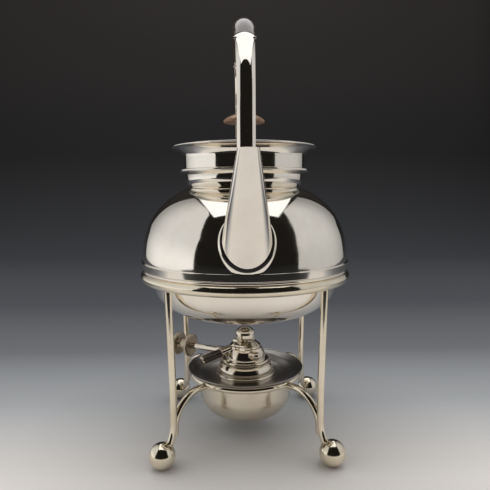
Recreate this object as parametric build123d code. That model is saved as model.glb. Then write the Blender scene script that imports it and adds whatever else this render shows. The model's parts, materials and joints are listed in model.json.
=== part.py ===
"""Spirit kettle on stand: a lidded kettle lifted over a spirit burner by a four-legged stand.

Millimetres, +Z up. The origin is on the kettle's axis at table level, and the spout points to -Y.
Every round piece is turned about that axis, so outlines are written as (radius, height).
"""
import os
from math import cos, radians, sin, sqrt

from build123d import *

# Sheet and fits
body_wall = 1.2
fitting_wall = 1.0
running_clearance = 0.05
loose_clearance = 0.35

# Kettle body
seat_z = 132.3
body_radius = 79.2
belt_width = 7.7
belt_proud = 1.1
belt_flange_thick = 2.0
belt_bead_proud = 0.8
bowl_step = 6.6
bowl_depth = 40.3
bowl_squareness = 2.9
dome_spring_rise = 4.7
dome_rise = 63.0
dome_squareness = 2.4

# Neck and rim
shoulder_width = 37.2
collar_bulge = 3.3
collar_top_bulge = 2.6
collar_height = 11.0
neck_flange_width = 8.3
neck_flange_thick = 2.4
neck_step = 4.7
neck_straight = 8.3
rim_reach = 13.8
flare_radius = 7.7

# Lid
lid_gap = 0.4
lid_drop = 10.2
lid_brim = 5.0
lid_crown_rise = 16.1
lid_thick = 1.2
lid_bezel_depth = 4.0
lid_seat_width = 3.4
hinge_knuckle_radius = 2.1
hinge_pin_radius = 0.9
hinge_inset = 5.1
hinge_middle_length = 7.8
hinge_side_length = 4.4
hinge_gap = 0.2

# Finial
stem_foot_radius = 7.6
stem_radius = 3.2
stem_seat_radius = 5.5
stem_height = 11.4
finial_radius = 16.0
finial_thick = 7.5
finial_edge_rise = 0.9
finial_edge_round = 0.8
finial_screw_radius = 1.5

# Spout
spout_base_width = 35.3
spout_base_height = 40.4
spout_base_rise = 14.9
spout_lean_in = 15.5
spout_foot_sink = 2.2
spout_root_depth = 6.0
spout_overhang = 30.8
spout_tip_drop = 10.16
spout_tip_width = 12.8
spout_ring_width = 2.4
spout_ring_thick = 1.1
strainer_hole_radius = 1.6
strainer_pitch = 6.0

# Handle
hoop_inset = 15.2
hoop_center_rise = 18.84
strap_thick = 5.0
strap_crown = 2.6
strap_width_foot = 12.2
strap_width_top = 14.2
grip_half_angle = 32.0
grip_width = 17.8
grip_end_width = 14.6
grip_height = 18.5
grip_end_height = 6.4
grip_lift = 2.0
grip_end_drop = 0.7
tenon_radius = 1.7
tenon_length = 8.0
tenon_root = 2.0
grip_pin_down = 6.0
grip_pin_radius = 0.9
grip_pin_proud = 0.7
handle_foot_width = 20.0
handle_foot_depth = 11.0
handle_foot_thick = 1.4

# Stand
stand_ring_inset = 1.9
stand_ring_tube = 4.15
stand_ring_flat = 1.3
leg_rod_radius = 2.6
leg_top_inset = 0.9
leg_waist_radius = 73.8
leg_waist_z = 50.0
leg_kick_z = 24.0
leg_top_bend = 200.0
leg_foot_bend = 25.0
leg_ball_inset = 4.9
foot_spread = 84.4
foot_radius = 9.4
foot_sink = 0.25
lamp_ring_radius = 42.6
lamp_ring_tube = 2.4
lamp_ring_flat = 0.96
lamp_seat_z = 50.4
bracket_rod_radius = 2.5
bracket_level_run = 5.9
bracket_leg_sink = 1.8
bracket_drop = 0.6
bracket_end_z = 20.0

# Burner shells
dish_radius = 46.0
dish_rim_z = 52.9
dish_floor_z = 44.6
dish_floor_radius = 27.0
dish_thick = 1.0
dish_hole_radius = 18.0
reservoir_radius = 36.2
reservoir_bottom_z = 15.2
reservoir_corner = 17.5
drum_radius = 22.3
drum_height = 11.5
drum_straight = 5.4
drum_bead_rise = 2.7
drum_bead_radius = 1.2
ledge_radius = 19.2
ledge_thick = 3.2
tier_radius = 16.2
tier_height = 9.0
tier_top_radius = 12.9
lip_radius = 12.4
lip_edge = 1.6
lip_rise = 4.9
lip_top_radius = 8.4

# Wick and winder
wick_radius = 4.5
wick_length = 58.0
wick_top_z = 76.3
wick_tube_wall = 0.65
wick_tube_top_z = 75.4
wick_tube_length = 34.0
winder_angle = 30.0
winder_offset = 8.8
winder_z = 64.5
winder_shaft_radius = 2.4
winder_wheel_thick = 2.0
winder_tooth_count = 10
winder_tooth_depth = 1.1
winder_bush_radius = 3.6
winder_bush_start = 12.0
winder_bush_end = 21.5
winder_tail = 14.5
winder_cap_radius = 3.4
knob_start = 45.8
knob_disc_radius = 9.6
knob_disc_thick = 3.0
knob_waist_length = 9.0
knob_waist_radius = 4.6

# Burner handle
handle_angle = 24.0
handle_start_z = 67.4
handle_start_radius = 15.0
handle_slope = 14.5
ferrule_radius = 3.4
ferrule_start = -3.2
ferrule_end = 7.0
burner_grip_radius = 3.3
burner_grip_length = 15.0
burner_grip_socket = 4.0
grip_cap_radius = 3.6
grip_cap_length = 1.4

# Snuffer
snuffer_radius = 8.0
snuffer_wall = 0.8
snuffer_foot_z = 73.6
snuffer_straight = 4.9
snuffer_dome_rise = 6.2
snuffer_hinge_offset = 12.2
snuffer_hinge_z = 71.6
snuffer_knuckle_radius = 1.4
snuffer_pin_radius = 0.6
snuffer_knuckle_half = 2.0
snuffer_knuckle_gap = 0.2
snuffer_knuckle_left = 4.5
snuffer_knuckle_right = 6.5
snuffer_leaf_width = 3.6
thumb_curl_radius = 1.9
thumb_curl_bore = 1.0
thumb_curl_rise = 5.0
thumb_curl_out = 2.4

# Places worked out from the sizes above
belt_top_z = seat_z + belt_width
shell_joint_z = seat_z + belt_flange_thick
dome_base_z = shell_joint_z + dome_spring_rise
band_radius = body_radius + belt_proud
bowl_radius = body_radius - bowl_step
neck_root_radius = body_radius - shoulder_width
collar_radius = neck_root_radius + collar_bulge
collar_top_radius = neck_root_radius + collar_top_bulge
neck_flange_radius = neck_root_radius + neck_flange_width
neck_radius = neck_root_radius + neck_step
rim_radius = neck_root_radius + rim_reach
hinge_reach = rim_radius - hinge_inset
hoop_radius = body_radius - hoop_inset
spout_base_z = belt_top_z + spout_base_rise
spout_tip_reach = body_radius + spout_overhang
stand_ring_radius = body_radius - stand_ring_inset
leg_top_radius = stand_ring_radius - leg_top_inset
bracket_out_radius = leg_waist_radius - bracket_leg_sink
bracket_bend = bracket_out_radius - lamp_ring_radius - bracket_level_run


def squared_height(radius, widest, rise, squareness):
    """Height over the widest edge of a squared-off ellipse at one radius."""
    return rise * (1 - (radius / widest) ** squareness) ** (1 / squareness)


collar_root_z = dome_base_z + squared_height(neck_root_radius, body_radius, dome_rise, dome_squareness)
neck_flange_z = collar_root_z + collar_height
neck_base_z = neck_flange_z + neck_flange_thick
flare_base_z = neck_base_z + neck_straight
rim_under_z = flare_base_z + flare_radius
rim_top_z = rim_under_z + body_wall
spout_tip_z = rim_top_z - spout_tip_drop
hoop_center_z = rim_top_z + hoop_center_rise
neck_bore = neck_radius - body_wall
lid_radius = neck_bore - lid_gap
lid_edge_z = rim_top_z - lid_drop
lid_crown_z = lid_edge_z + lid_thick + lid_crown_rise
lid_dome_radius = lid_radius - lid_brim
lid_seat_bore = neck_bore - lid_seat_width
hinge_z = rim_top_z + hinge_knuckle_radius - 0.2
finial_base_z = lid_crown_z + stem_height
lamp_ring_z = lamp_seat_z - sqrt(lamp_ring_tube ** 2 - lamp_ring_flat ** 2)
ledge_z = dish_floor_z + drum_height
tier_base_z = ledge_z + ledge_thick
lip_z = tier_base_z + tier_height
lip_top_z = lip_z + lip_rise
wick_bore = wick_radius + loose_clearance
wick_tube_radius = wick_bore + wick_tube_wall
winder_wheel_radius = winder_offset - wick_radius - 0.3
knob_end = knob_start + 2 * knob_disc_thick + knob_waist_length


# ---------------------------------------------------------------- helpers
def squared_quarter(widest, rise, squareness, base_z, count=9):
    """A squared-off quarter ellipse, from its widest edge up (or down) to the axis."""
    points = []
    for index in range(count - 1):
        angle = radians(90) * index / (count - 1)
        radius = widest * cos(angle) ** (2 / squareness)
        points.append((radius, base_z + rise * sin(angle) ** (2 / squareness)))
    points.append((0, base_z + rise))
    return Spline(*points, tangents=((0, 1 if rise > 0 else -1), (-1, 0)))


def spun(*edges):
    """A closed outline of radius and height, turned about the kettle's axis."""
    return revolve(Plane.XZ * make_face(Curve() + list(edges)), Axis.Z)


def spun_polygon(*points):
    """The same for an outline of straight lines."""
    return spun(Polyline(*points, close=True))


def rod(start, end, radius):
    """A round bar from one point to another."""
    axis = Vector(*end) - Vector(*start)
    return Plane(origin=start, z_dir=axis) * Cylinder(
        radius, axis.length, align=(Align.CENTER, Align.CENTER, Align.MIN)
    )


def tube_along(path, radius):
    """A round bar along a path of straight runs and tangent arcs."""
    section = Plane(origin=path @ 0, z_dir=path % 0) * Circle(radius)
    return sweep(section, path=path)


def kettle_envelope(extra=0.0):
    """The outside of the upper body as one solid, grown outwards by the extra."""
    widest, crown_z = body_radius + extra, dome_base_z + dome_rise + extra
    return spun(
        squared_quarter(widest, dome_rise + extra, dome_squareness, dome_base_z),
        Polyline((0, crown_z), (0, seat_z), (widest, seat_z), (widest, dome_base_z)),
    )


# ---------------------------------------------------------------- kettle body
def make_kettle_bowl():
    """Lower shell: a wide shallow bowl with a nearly flat bottom."""
    inner_radius, bottom_z = bowl_radius - body_wall, shell_joint_z - bowl_depth
    return spun(
        squared_quarter(bowl_radius, -bowl_depth, bowl_squareness, shell_joint_z),
        Line((0, bottom_z), (0, bottom_z + body_wall)),
        squared_quarter(inner_radius, body_wall - bowl_depth, bowl_squareness, shell_joint_z),
        Line((inner_radius, shell_joint_z), (bowl_radius, shell_joint_z)),
    )


def make_kettle_dome():
    """Upper shell from the belt up to the neck, pierced behind the spout."""
    below = Pos(0, 0, shell_joint_z) * Cylinder(
        2 * body_radius, 2 * belt_width, align=(Align.CENTER, Align.CENTER, Align.MAX)
    )
    mouth = Pos(0, 0, collar_root_z) * Cylinder(neck_root_radius, 2 * dome_rise)
    return kettle_envelope() - kettle_envelope(-body_wall) - below - mouth - strainer_holes()


def strainer_holes():
    """Round holes in staggered rows through the wall behind the spout."""
    holes = []
    row_rise = strainer_pitch * sqrt(3) / 2
    for row in range(-1, 2):
        columns = 3 - abs(row) % 2
        z = spout_base_z + row * row_rise
        for column in range(columns):
            x = (column - (columns - 1) / 2) * strainer_pitch
            holes.append(rod((x, -body_radius - 5, z), (x, -body_radius / 2, z), strainer_hole_radius))
    return holes


def make_kettle_belt():
    """Band over the joint of the shells; its lower bead stands on the stand's ring."""
    bead_radius = body_radius + belt_bead_proud
    groove_radius = body_radius - 0.2
    return spun(
        Line((bowl_radius, seat_z), (groove_radius, seat_z)),
        ThreePointArc(
            (groove_radius, seat_z), (bead_radius, seat_z + belt_flange_thick / 2),
            (groove_radius, shell_joint_z),
        ),
        Polyline(
            (groove_radius, shell_joint_z), (band_radius, shell_joint_z + 0.6),
            (band_radius, belt_top_z - 0.5), (band_radius - 0.5, belt_top_z),
            (body_radius, belt_top_z), (body_radius, shell_joint_z),
            (bowl_radius, shell_joint_z), (bowl_radius, seat_z),
        ),
    )


def make_neck_collar(dome):
    """Lower neck, bulged, standing on the dome round its mouth."""
    top_radius = collar_top_radius
    middle_z = collar_root_z + collar_height / 2
    foot_z = collar_root_z - body_wall
    collar = spun(
        Line((neck_root_radius, foot_z), (neck_root_radius, collar_root_z)),
        ThreePointArc(
            (neck_root_radius, collar_root_z), (collar_radius, middle_z), (top_radius, neck_flange_z)
        ),
        Line((top_radius, neck_flange_z), (top_radius - fitting_wall, neck_flange_z)),
        ThreePointArc(
            (top_radius - fitting_wall, neck_flange_z), (collar_radius - fitting_wall, middle_z),
            (neck_root_radius - fitting_wall, collar_root_z),
        ),
        Polyline(
            (neck_root_radius - fitting_wall, collar_root_z), (neck_root_radius - fitting_wall, foot_z),
            (neck_root_radius, foot_z),
        ),
    )
    return collar - dome


def make_neck_flange():
    """Thin flat ring round the neck, with a rounded edge."""
    bore = collar_top_radius - fitting_wall
    round_start = neck_flange_radius - neck_flange_thick / 2
    return spun(
        Line((bore, neck_flange_z), (round_start, neck_flange_z)),
        ThreePointArc(
            (round_start, neck_flange_z), (neck_flange_radius, neck_flange_z + neck_flange_thick / 2),
            (round_start, neck_base_z),
        ),
        Polyline((round_start, neck_base_z), (bore, neck_base_z), (bore, neck_flange_z)),
    )


def flare_center_radius():
    """Radius at which the flare turns level."""
    return neck_radius + flare_radius


def make_flared_rim():
    """Upper neck, swept out by a quarter turn into a wide flat lip."""
    level = flare_center_radius()
    lip_round = rim_radius - body_wall / 2
    return spun(
        Line((neck_radius, neck_base_z), (neck_radius, flare_base_z)),
        TangentArc((neck_radius, flare_base_z), (level, rim_under_z), tangent=(0, 1)),
        Line((level, rim_under_z), (lip_round, rim_under_z)),
        ThreePointArc(
            (lip_round, rim_under_z), (rim_radius, rim_under_z + body_wall / 2), (lip_round, rim_top_z)
        ),
        Line((lip_round, rim_top_z), (level, rim_top_z)),
        TangentArc(
            (neck_bore, flare_base_z), (level, rim_top_z), tangent=(0, 1)
        ),
        Polyline((neck_bore, flare_base_z), (neck_bore, neck_base_z), (neck_radius, neck_base_z)),
    )


def make_lid_seat():
    """Ledge ring inside the neck that the lid's edge lies on."""
    return spun_polygon(
        (lid_seat_bore, lid_edge_z - fitting_wall), (neck_bore, lid_edge_z - fitting_wall),
        (neck_bore, lid_edge_z), (lid_seat_bore, lid_edge_z),
    )


# ---------------------------------------------------------------- lid
def lid_dome_arc(drop, brim_radius):
    """Arc of the lid's dome from its brim up to the crown, lowered by the drop."""
    brim_z = lid_edge_z + lid_thick - drop
    crown_z = lid_crown_z - drop
    return TangentArc((0, crown_z), (brim_radius, brim_z), tangent=(1, 0))


def make_lid_cover():
    """Domed cover with a flat brim, and a hole for the finial's screw."""
    under_radius = lid_dome_radius - 0.6
    under_z = lid_edge_z
    crown_under_z = lid_crown_z - lid_thick
    cover = spun(
        lid_dome_arc(0, lid_dome_radius),
        Polyline(
            (lid_dome_radius, lid_edge_z + lid_thick), (lid_radius, lid_edge_z + lid_thick),
            (lid_radius, lid_edge_z), (under_radius, under_z),
        ),
        TangentArc((0, crown_under_z), (under_radius, under_z), tangent=(1, 0)),
        Line((0, crown_under_z), (0, lid_crown_z)),
    )
    bore = Pos(0, 0, lid_crown_z) * Cylinder(finial_screw_radius, 4 * lid_thick)
    return cover - bore


def make_lid_bezel():
    """Short tube under the lid that centres it in the seat ring."""
    outer = lid_seat_bore - 0.9
    inner = outer - fitting_wall
    return spun_polygon(
        (inner, lid_edge_z - lid_bezel_depth), (outer, lid_edge_z - lid_bezel_depth),
        (outer, lid_edge_z), (inner, lid_edge_z),
    )


def hinge_barrel(start_x, end_x, radius):
    """A length of the lid hinge's barrel."""
    return rod((start_x, hinge_reach, hinge_z), (end_x, hinge_reach, hinge_z), radius)


def make_lid_hinge_arm(cover):
    """Cranked arm from the lid's brim over the flared rim to the middle knuckle."""
    brim_top = lid_edge_z + lid_thick
    foot_in = lid_dome_radius - 0.8
    foot_out = lid_radius - 0.5
    side = Plane.YZ * make_face(
        Polyline(
            (foot_in, brim_top), (foot_out, brim_top), (foot_out, hinge_z - 6.0),
            (hinge_reach - 1.2, hinge_z - 1.5), (hinge_reach, hinge_z),
            (hinge_reach - 2.6, hinge_z + 1.0), (foot_in + 2.4, hinge_z - 4.0), close=True,
        )
    )
    arm = extrude(side, amount=hinge_middle_length / 2, both=True)
    half = hinge_middle_length / 2
    arm += hinge_barrel(-half, half, hinge_knuckle_radius)
    arm -= hinge_barrel(-hinge_middle_length, hinge_middle_length, hinge_pin_radius + running_clearance)
    return arm - cover


def make_lid_hinge_leaf(rim, side):
    """A fixed knuckle on a saddle fitted to the flared rim."""
    inner = hinge_middle_length / 2 + hinge_gap
    outer = inner + hinge_side_length
    saddle_depth = 4.0
    leaf = hinge_barrel(side * inner, side * outer, hinge_knuckle_radius)
    leaf += Pos(side * (inner + outer) / 2, hinge_reach, hinge_z - saddle_depth / 2) * Box(
        hinge_side_length, 2.6, saddle_depth
    )
    leaf -= hinge_barrel(-outer - 1, outer + 1, hinge_pin_radius)
    envelope = spun(
        Polyline((flare_center_radius(), rim_top_z), (rim_radius + 5, rim_top_z),
                 (rim_radius + 5, flare_base_z), (neck_bore, flare_base_z)),
        TangentArc((neck_bore, flare_base_z), (flare_center_radius(), rim_top_z), tangent=(0, 1)),
    )
    return leaf - envelope - rim


def make_lid_hinge_pin():
    """Pin held by the fixed knuckles; the lid's knuckle turns on it."""
    half = hinge_middle_length / 2 + hinge_gap + hinge_side_length + 0.4
    return hinge_barrel(-half, half, hinge_pin_radius)


def make_finial_stem(cover):
    """Flared metal stem between the lid's crown and the wooden finial."""
    foot_z = lid_crown_z - 1.2
    waist_z = lid_crown_z + 0.72 * stem_height
    neck_z = finial_base_z - 1.2
    stem = spun(
        Line((0, foot_z), (stem_foot_radius, foot_z)),
        Line((stem_foot_radius, foot_z), (stem_foot_radius - 0.3, foot_z + 1.5)),
        TangentArc(
            (stem_radius, waist_z), (stem_foot_radius - 0.3, foot_z + 1.5), tangent=(0, -1)
        ),
        Line((stem_radius, waist_z), (stem_radius, neck_z)),
        Polyline(
            (stem_radius, neck_z), (stem_seat_radius, neck_z + 0.4), (stem_seat_radius, finial_base_z),
            (0, finial_base_z), (0, foot_z),
        ),
    )
    bore = Pos(0, 0, lid_crown_z) * Cylinder(finial_screw_radius, 4 * stem_height)
    return stem - cover - bore


def make_finial_disc():
    """Turned wooden mushroom: flat under out to a small round edge, low dome on top."""
    flat_radius = finial_radius - finial_edge_round
    edge_z = finial_base_z + finial_edge_rise
    shoulder_radius = finial_radius - 0.5
    shoulder_z = edge_z + 1.2
    disc = spun(
        Line((0, finial_base_z), (flat_radius, finial_base_z)),
        TangentArc((flat_radius, finial_base_z), (finial_radius, edge_z), tangent=(1, 0)),
        Line((finial_radius, edge_z), (shoulder_radius, shoulder_z)),
        TangentArc((0, finial_base_z + finial_thick), (shoulder_radius, shoulder_z), tangent=(1, 0)),
        Line((0, finial_base_z + finial_thick), (0, finial_base_z)),
    )
    return disc - Pos(0, 0, finial_base_z) * Cylinder(finial_screw_radius, finial_thick)


def make_finial_screw():
    """Screw from under the lid up into the wood."""
    head_radius = 2 * finial_screw_radius
    head_z = lid_crown_z - lid_thick
    top_z = finial_base_z + finial_thick / 2
    head_thick = 1.4
    return spun_polygon(
        (0, head_z - head_thick), (head_radius, head_z - head_thick), (head_radius, head_z - 0.2),
        (finial_screw_radius, head_z - 0.2), (finial_screw_radius, top_z), (0, top_z),
    )


# ---------------------------------------------------------------- spout
def spout_solid(grow=0.0, past_tip=0.0):
    """Tapered spout from inside the body to its mouth, every width grown by the same amount."""
    lean = radians(spout_lean_in)
    inward = Vector(0, cos(lean), -sin(lean))
    foot = Vector(0, spout_foot_sink - squared_body_radius(spout_base_z), spout_base_z)
    base = Plane(origin=foot + inward * spout_root_depth, x_dir=(1, 0, 0), z_dir=-inward)
    tip = Plane(origin=(0, -spout_tip_reach, spout_tip_z), x_dir=(1, 0, 0), z_dir=(0, 0, 1))
    base_face = base * Ellipse(spout_base_width / 2 + grow, spout_base_height / 2 + grow)
    tip_face = tip * Ellipse(spout_tip_width / 2 + grow, spout_tip_width / 2 + grow)
    solid = loft([base_face, tip_face])
    if past_tip:
        solid += extrude(tip_face, amount=past_tip)
    return solid


def squared_body_radius(z):
    """Outer radius of the dome at one height."""
    share = (z - dome_base_z) / dome_rise
    return body_radius * (1 - share ** dome_squareness) ** (1 / dome_squareness)


def make_spout(belt, foot):
    """Hollow spout, cut to the body's curve and level at its mouth."""
    shell = spout_solid() - spout_solid(-fitting_wall, past_tip=2)
    return shell - kettle_envelope() - belt - foot


def make_spout_base_ring(belt, foot):
    """Narrow raised edge on the body round the spout's foot."""
    grown = spout_solid(spout_ring_width) & kettle_envelope(spout_ring_thick)
    return grown - kettle_envelope() - spout_solid() - belt - foot


# ---------------------------------------------------------------- handle
def hoop_plane(angle, side, lift=0.0):
    """Cross-section plane of the hoop: angle 0 is level with its centre, side -1 is the front."""
    turn = radians(angle)
    reach = hoop_radius + lift
    origin = (0, side * reach * cos(turn), hoop_center_z + reach * sin(turn))
    return Plane(origin=origin, x_dir=(1, 0, 0), z_dir=(0, -side * sin(turn), cos(turn)))


def strap_section(plane, width, side):
    """Section of the strap: flat towards the kettle, straight edges, low round crown outwards."""
    under, edge, crown = -strap_thick / 2, strap_thick / 2 - strap_crown, strap_thick / 2
    outline = Curve() + [
        Polyline((-width / 2, side * edge), (-width / 2, side * under),
                 (width / 2, side * under), (width / 2, side * edge)),
        ThreePointArc((width / 2, side * edge), (0, side * crown), (-width / 2, side * edge)),
    ]
    return plane * make_face(outline)


def joint_angle():
    """Angle up the hoop at which the strap meets the grip."""
    return 90 - grip_half_angle


def make_tenon(side):
    """Wooden peg that starts inside the grip and enters the strap's end."""
    joint = hoop_plane(joint_angle(), side)
    start, end = (joint * Pos(0, 0, z) for z in (tenon_root, -tenon_length))
    return rod(start.position, end.position, tenon_radius)


def make_handle_leg(side, envelope, foot):
    """Strap from the foot up and over to the grip, widening round the bend, bored for the tenon."""
    start_z = dome_base_z + squared_height(hoop_radius, body_radius, dome_rise, dome_squareness) - 4
    sections = []
    for step in range(3):
        rise = (hoop_center_z - start_z) * step / 3
        plane = Plane(origin=(0, side * hoop_radius, start_z + rise), x_dir=(1, 0, 0), z_dir=(0, 0, 1))
        sections.append(strap_section(plane, strap_width_foot, side))
    for step in range(6):
        share = step / 5
        width = strap_width_foot + (strap_width_top - strap_width_foot) * share ** 2
        sections.append(strap_section(hoop_plane(joint_angle() * share, side), width, side))
    return loft(sections) - envelope - foot - make_tenon(side)


def make_handle_foot(side, envelope):
    """Oval pad on the shoulder under the strap."""
    oval = Pos(0, side * (hoop_radius - 0.3), 0) * Ellipse(handle_foot_width / 2, handle_foot_depth / 2)
    column = extrude(oval, amount=hoop_center_z)
    return (kettle_envelope(handle_foot_thick) & column) - envelope


def grip_section(angle):
    """Section of the grip: a flat oval level with the strap at the joints that swells to the middle."""
    share = cos(radians(90 * (90 - angle) / grip_half_angle))
    swell = max(share, 0.0) ** 1.15
    width = grip_end_width + (grip_width - grip_end_width) * swell
    height = grip_end_height + (grip_height - grip_end_height) * swell
    lift = (grip_lift + grip_end_drop) * swell - grip_end_drop
    return hoop_plane(angle, -1, lift) * Ellipse(width / 2, height / 2)


def make_handle_grip(pins):
    """Bent wooden grip between the straps, with a tenon at each end."""
    steps = (-1, -0.85, -0.5, 0, 0.5, 0.85, 1)
    grip = loft([grip_section(90 + grip_half_angle * step) for step in steps])
    for side in (-1, 1):
        grip += make_tenon(side)
    return grip - pins


def make_handle_grip_pin(side):
    """Cross pin through the strap's end and the tenon."""
    center = (hoop_plane(joint_angle(), side) * Pos(0, 0, -grip_pin_down)).position
    half = strap_width_top / 2 + grip_pin_proud
    return rod((-half, center.Y, center.Z), (half, center.Y, center.Z), grip_pin_radius)


# ---------------------------------------------------------------- stand
def make_stand_ring():
    """Round-section ring, flattened on top where the kettle stands."""
    center_z = seat_z - sqrt(stand_ring_tube ** 2 - stand_ring_flat ** 2)
    inner = (stand_ring_radius - stand_ring_flat, seat_z)
    outer = (stand_ring_radius + stand_ring_flat, seat_z)
    bottom = (stand_ring_radius, center_z - stand_ring_tube)
    return spun(Line(inner, outer), ThreePointArc(outer, bottom, inner))


def make_leg(ring, ball):
    """One rod: leans in a little, runs straight down and kicks out into its ball."""
    path = FilletPolyline(
        (leg_top_radius, 0, seat_z - stand_ring_tube), (leg_waist_radius, 0, leg_waist_z),
        (leg_waist_radius, 0, leg_kick_z), (foot_spread - leg_ball_inset, 0, foot_radius),
        radius=[leg_top_bend, leg_foot_bend],
    )
    return tube_along(path, leg_rod_radius) - ring - ball


def make_foot_ball():
    """Ball foot with a small worn flat where it stands."""
    ball = Pos(foot_spread, 0, foot_radius - foot_sink) * Sphere(foot_radius)
    return ball - Pos(foot_spread, 0, -foot_radius) * Box(*[2 * foot_radius] * 3)


def make_lamp_ring():
    """Ring that carries the burner, flattened on top."""
    inner = (lamp_ring_radius - lamp_ring_flat, lamp_seat_z)
    outer = (lamp_ring_radius + lamp_ring_flat, lamp_seat_z)
    bottom = (lamp_ring_radius, lamp_ring_z - lamp_ring_tube)
    return spun(Line(inner, outer), ThreePointArc(outer, bottom, inner))


def make_bracket(lamp_ring, leg):
    """Curved rod from the lamp ring out and down to the leg."""
    level_z = lamp_ring_z - bracket_drop
    path = FilletPolyline(
        (lamp_ring_radius, 0, level_z), (bracket_out_radius, 0, level_z),
        (bracket_out_radius + 0.8, 0, bracket_end_z),
        radius=bracket_bend,
    )
    return tube_along(path, bracket_rod_radius) - lamp_ring - leg


# ---------------------------------------------------------------- burner
def dish_outline(drop):
    """Top line of the dish from its floor to its rim, lowered by the drop."""
    slope_points = [
        (dish_floor_radius, dish_floor_z - drop),
        (dish_floor_radius + 6.5, dish_floor_z + 1.6 - drop),
        (lamp_ring_radius - 2.6, lamp_seat_z - drop),
        (dish_radius - 0.3, dish_rim_z - drop),
    ]
    return slope_points


def make_lamp_dish():
    """Shallow dish with a raised rim; a flat band under it lies on the lamp ring."""
    top = dish_outline(0)
    under = dish_outline(dish_thick)
    seat_in = lamp_ring_radius - 1.4
    seat_out = lamp_ring_radius + 1.4
    return spun(
        Line((dish_hole_radius, dish_floor_z), top[0]),
        Spline(*top, tangents=((1, 0), (1, 0.5))),
        Line(top[-1], (dish_radius, dish_rim_z - 0.4)),
        Polyline(
            (dish_radius, dish_rim_z - 0.4), (dish_radius - 0.2, dish_rim_z - dish_thick),
            (seat_out, lamp_seat_z), (seat_in, lamp_seat_z), under[2],
        ),
        Spline(under[0], under[1], under[2], tangents=((1, 0), (1, 0.55))),
        Polyline(under[0], (dish_hole_radius, dish_floor_z - dish_thick), (dish_hole_radius, dish_floor_z)),
    )


def make_reservoir(dish):
    """Round-bottomed fuel bowl, closed above by the dish."""
    top_z = lamp_seat_z
    outer, inner = reservoir_radius, reservoir_radius - fitting_wall
    bottom = reservoir_bottom_z
    corner = reservoir_corner
    bowl = spun(
        Line((outer, top_z), (outer, bottom + corner)),
        TangentArc((outer, bottom + corner), (outer - corner, bottom), tangent=(0, -1)),
        Polyline((outer - corner, bottom), (0, bottom), (0, bottom + fitting_wall),
                 (outer - corner, bottom + fitting_wall)),
        TangentArc((inner, bottom + corner), (outer - corner, bottom + fitting_wall), tangent=(0, -1)),
        Polyline((inner, bottom + corner), (inner, top_z), (outer, top_z)),
    )
    above = spun_polygon(
        (0, dish_floor_z - dish_thick / 2), (dish_floor_radius, dish_floor_z - dish_thick / 2),
        (dish_radius, dish_rim_z - dish_thick / 2), (dish_radius, dish_rim_z + 9), (0, dish_rim_z + 9),
    )
    cut = bowl - dish - above
    return max(cut.solids(), key=lambda solid: solid.volume)


def make_burner_drum():
    """Lower tier of the beehive, with a fine bead near its foot."""
    inner = drum_radius - fitting_wall
    top_outer = ledge_radius - 0.2
    straight_z = dish_floor_z + drum_straight
    bead_z = dish_floor_z + drum_bead_rise
    bead = drum_bead_radius
    return spun(
        Line((drum_radius, dish_floor_z), (drum_radius, bead_z - bead)),
        ThreePointArc(
            (drum_radius, bead_z - bead), (drum_radius + bead, bead_z), (drum_radius, bead_z + bead)
        ),
        Line((drum_radius, bead_z + bead), (drum_radius, straight_z)),
        TangentArc((drum_radius, straight_z), (top_outer, ledge_z), tangent=(0, 1)),
        Line((top_outer, ledge_z), (top_outer - fitting_wall, ledge_z)),
        TangentArc((inner, straight_z), (top_outer - fitting_wall, ledge_z), tangent=(0, 1)),
        Polyline((inner, straight_z), (inner, dish_floor_z), (drum_radius, dish_floor_z)),
    )


def make_burner_ledge():
    """Rounded ring between the two tiers."""
    bore = tier_radius - fitting_wall
    round_start = ledge_radius - ledge_thick / 4
    return spun(
        Line((bore, ledge_z), (round_start, ledge_z)),
        ThreePointArc(
            (round_start, ledge_z), (ledge_radius, ledge_z + ledge_thick / 2), (round_start, tier_base_z)
        ),
        Polyline((round_start, tier_base_z), (bore, tier_base_z), (bore, ledge_z)),
    )


def winder_point(along, offset=winder_offset, z=winder_z):
    """A point by its distance along the winder's shaft and in front of the wick's axis."""
    turn = radians(winder_angle)
    x = -sin(turn) * offset - cos(turn) * along
    y = -cos(turn) * offset + sin(turn) * along
    return (x, y, z)


def winder_rod(start, end, radius, offset=winder_offset, z=winder_z):
    """A round bar parallel to the winder's shaft."""
    return rod(winder_point(start, offset, z), winder_point(end, offset, z), radius)


def make_burner_tier(bush, end_bush):
    """Upper tier of the beehive, pierced for the winder's two bearings."""
    inner, top_inner = tier_radius - fitting_wall, tier_top_radius - fitting_wall
    tier = spun(
        TangentArc((tier_radius, tier_base_z), (tier_top_radius, lip_z), tangent=(0, 1)),
        Line((tier_top_radius, lip_z), (top_inner, lip_z)),
        TangentArc((inner, tier_base_z), (top_inner, lip_z), tangent=(0, 1)),
        Line((inner, tier_base_z), (tier_radius, tier_base_z)),
    )
    through = winder_rod(-winder_tail - 5, winder_bush_end, winder_shaft_radius + running_clearance)
    return tier - bush - end_bush - through


def make_burner_lip():
    """Sloped collar round the wick tube, hollowed under for the toothed wheel."""
    middle_z = lip_z + lip_edge / 2
    lip = spun(
        Line((wick_tube_radius, lip_z), (lip_radius - 0.4, lip_z)),
        ThreePointArc(
            (lip_radius - 0.4, lip_z), (lip_radius, middle_z), (lip_radius - 0.4, lip_z + lip_edge)
        ),
        Polyline(
            (lip_radius - 0.4, lip_z + lip_edge), (lip_top_radius, lip_top_z),
            (wick_tube_radius, lip_top_z), (wick_tube_radius, lip_z),
        ),
    )
    half = winder_wheel_thick / 2 + loose_clearance
    lip -= winder_rod(-half, half, winder_wheel_radius + loose_clearance)
    notch = snuffer_knuckle_half + snuffer_knuckle_gap
    return lip - snuffer_rod(-notch, notch, snuffer_knuckle_radius + loose_clearance)


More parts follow.
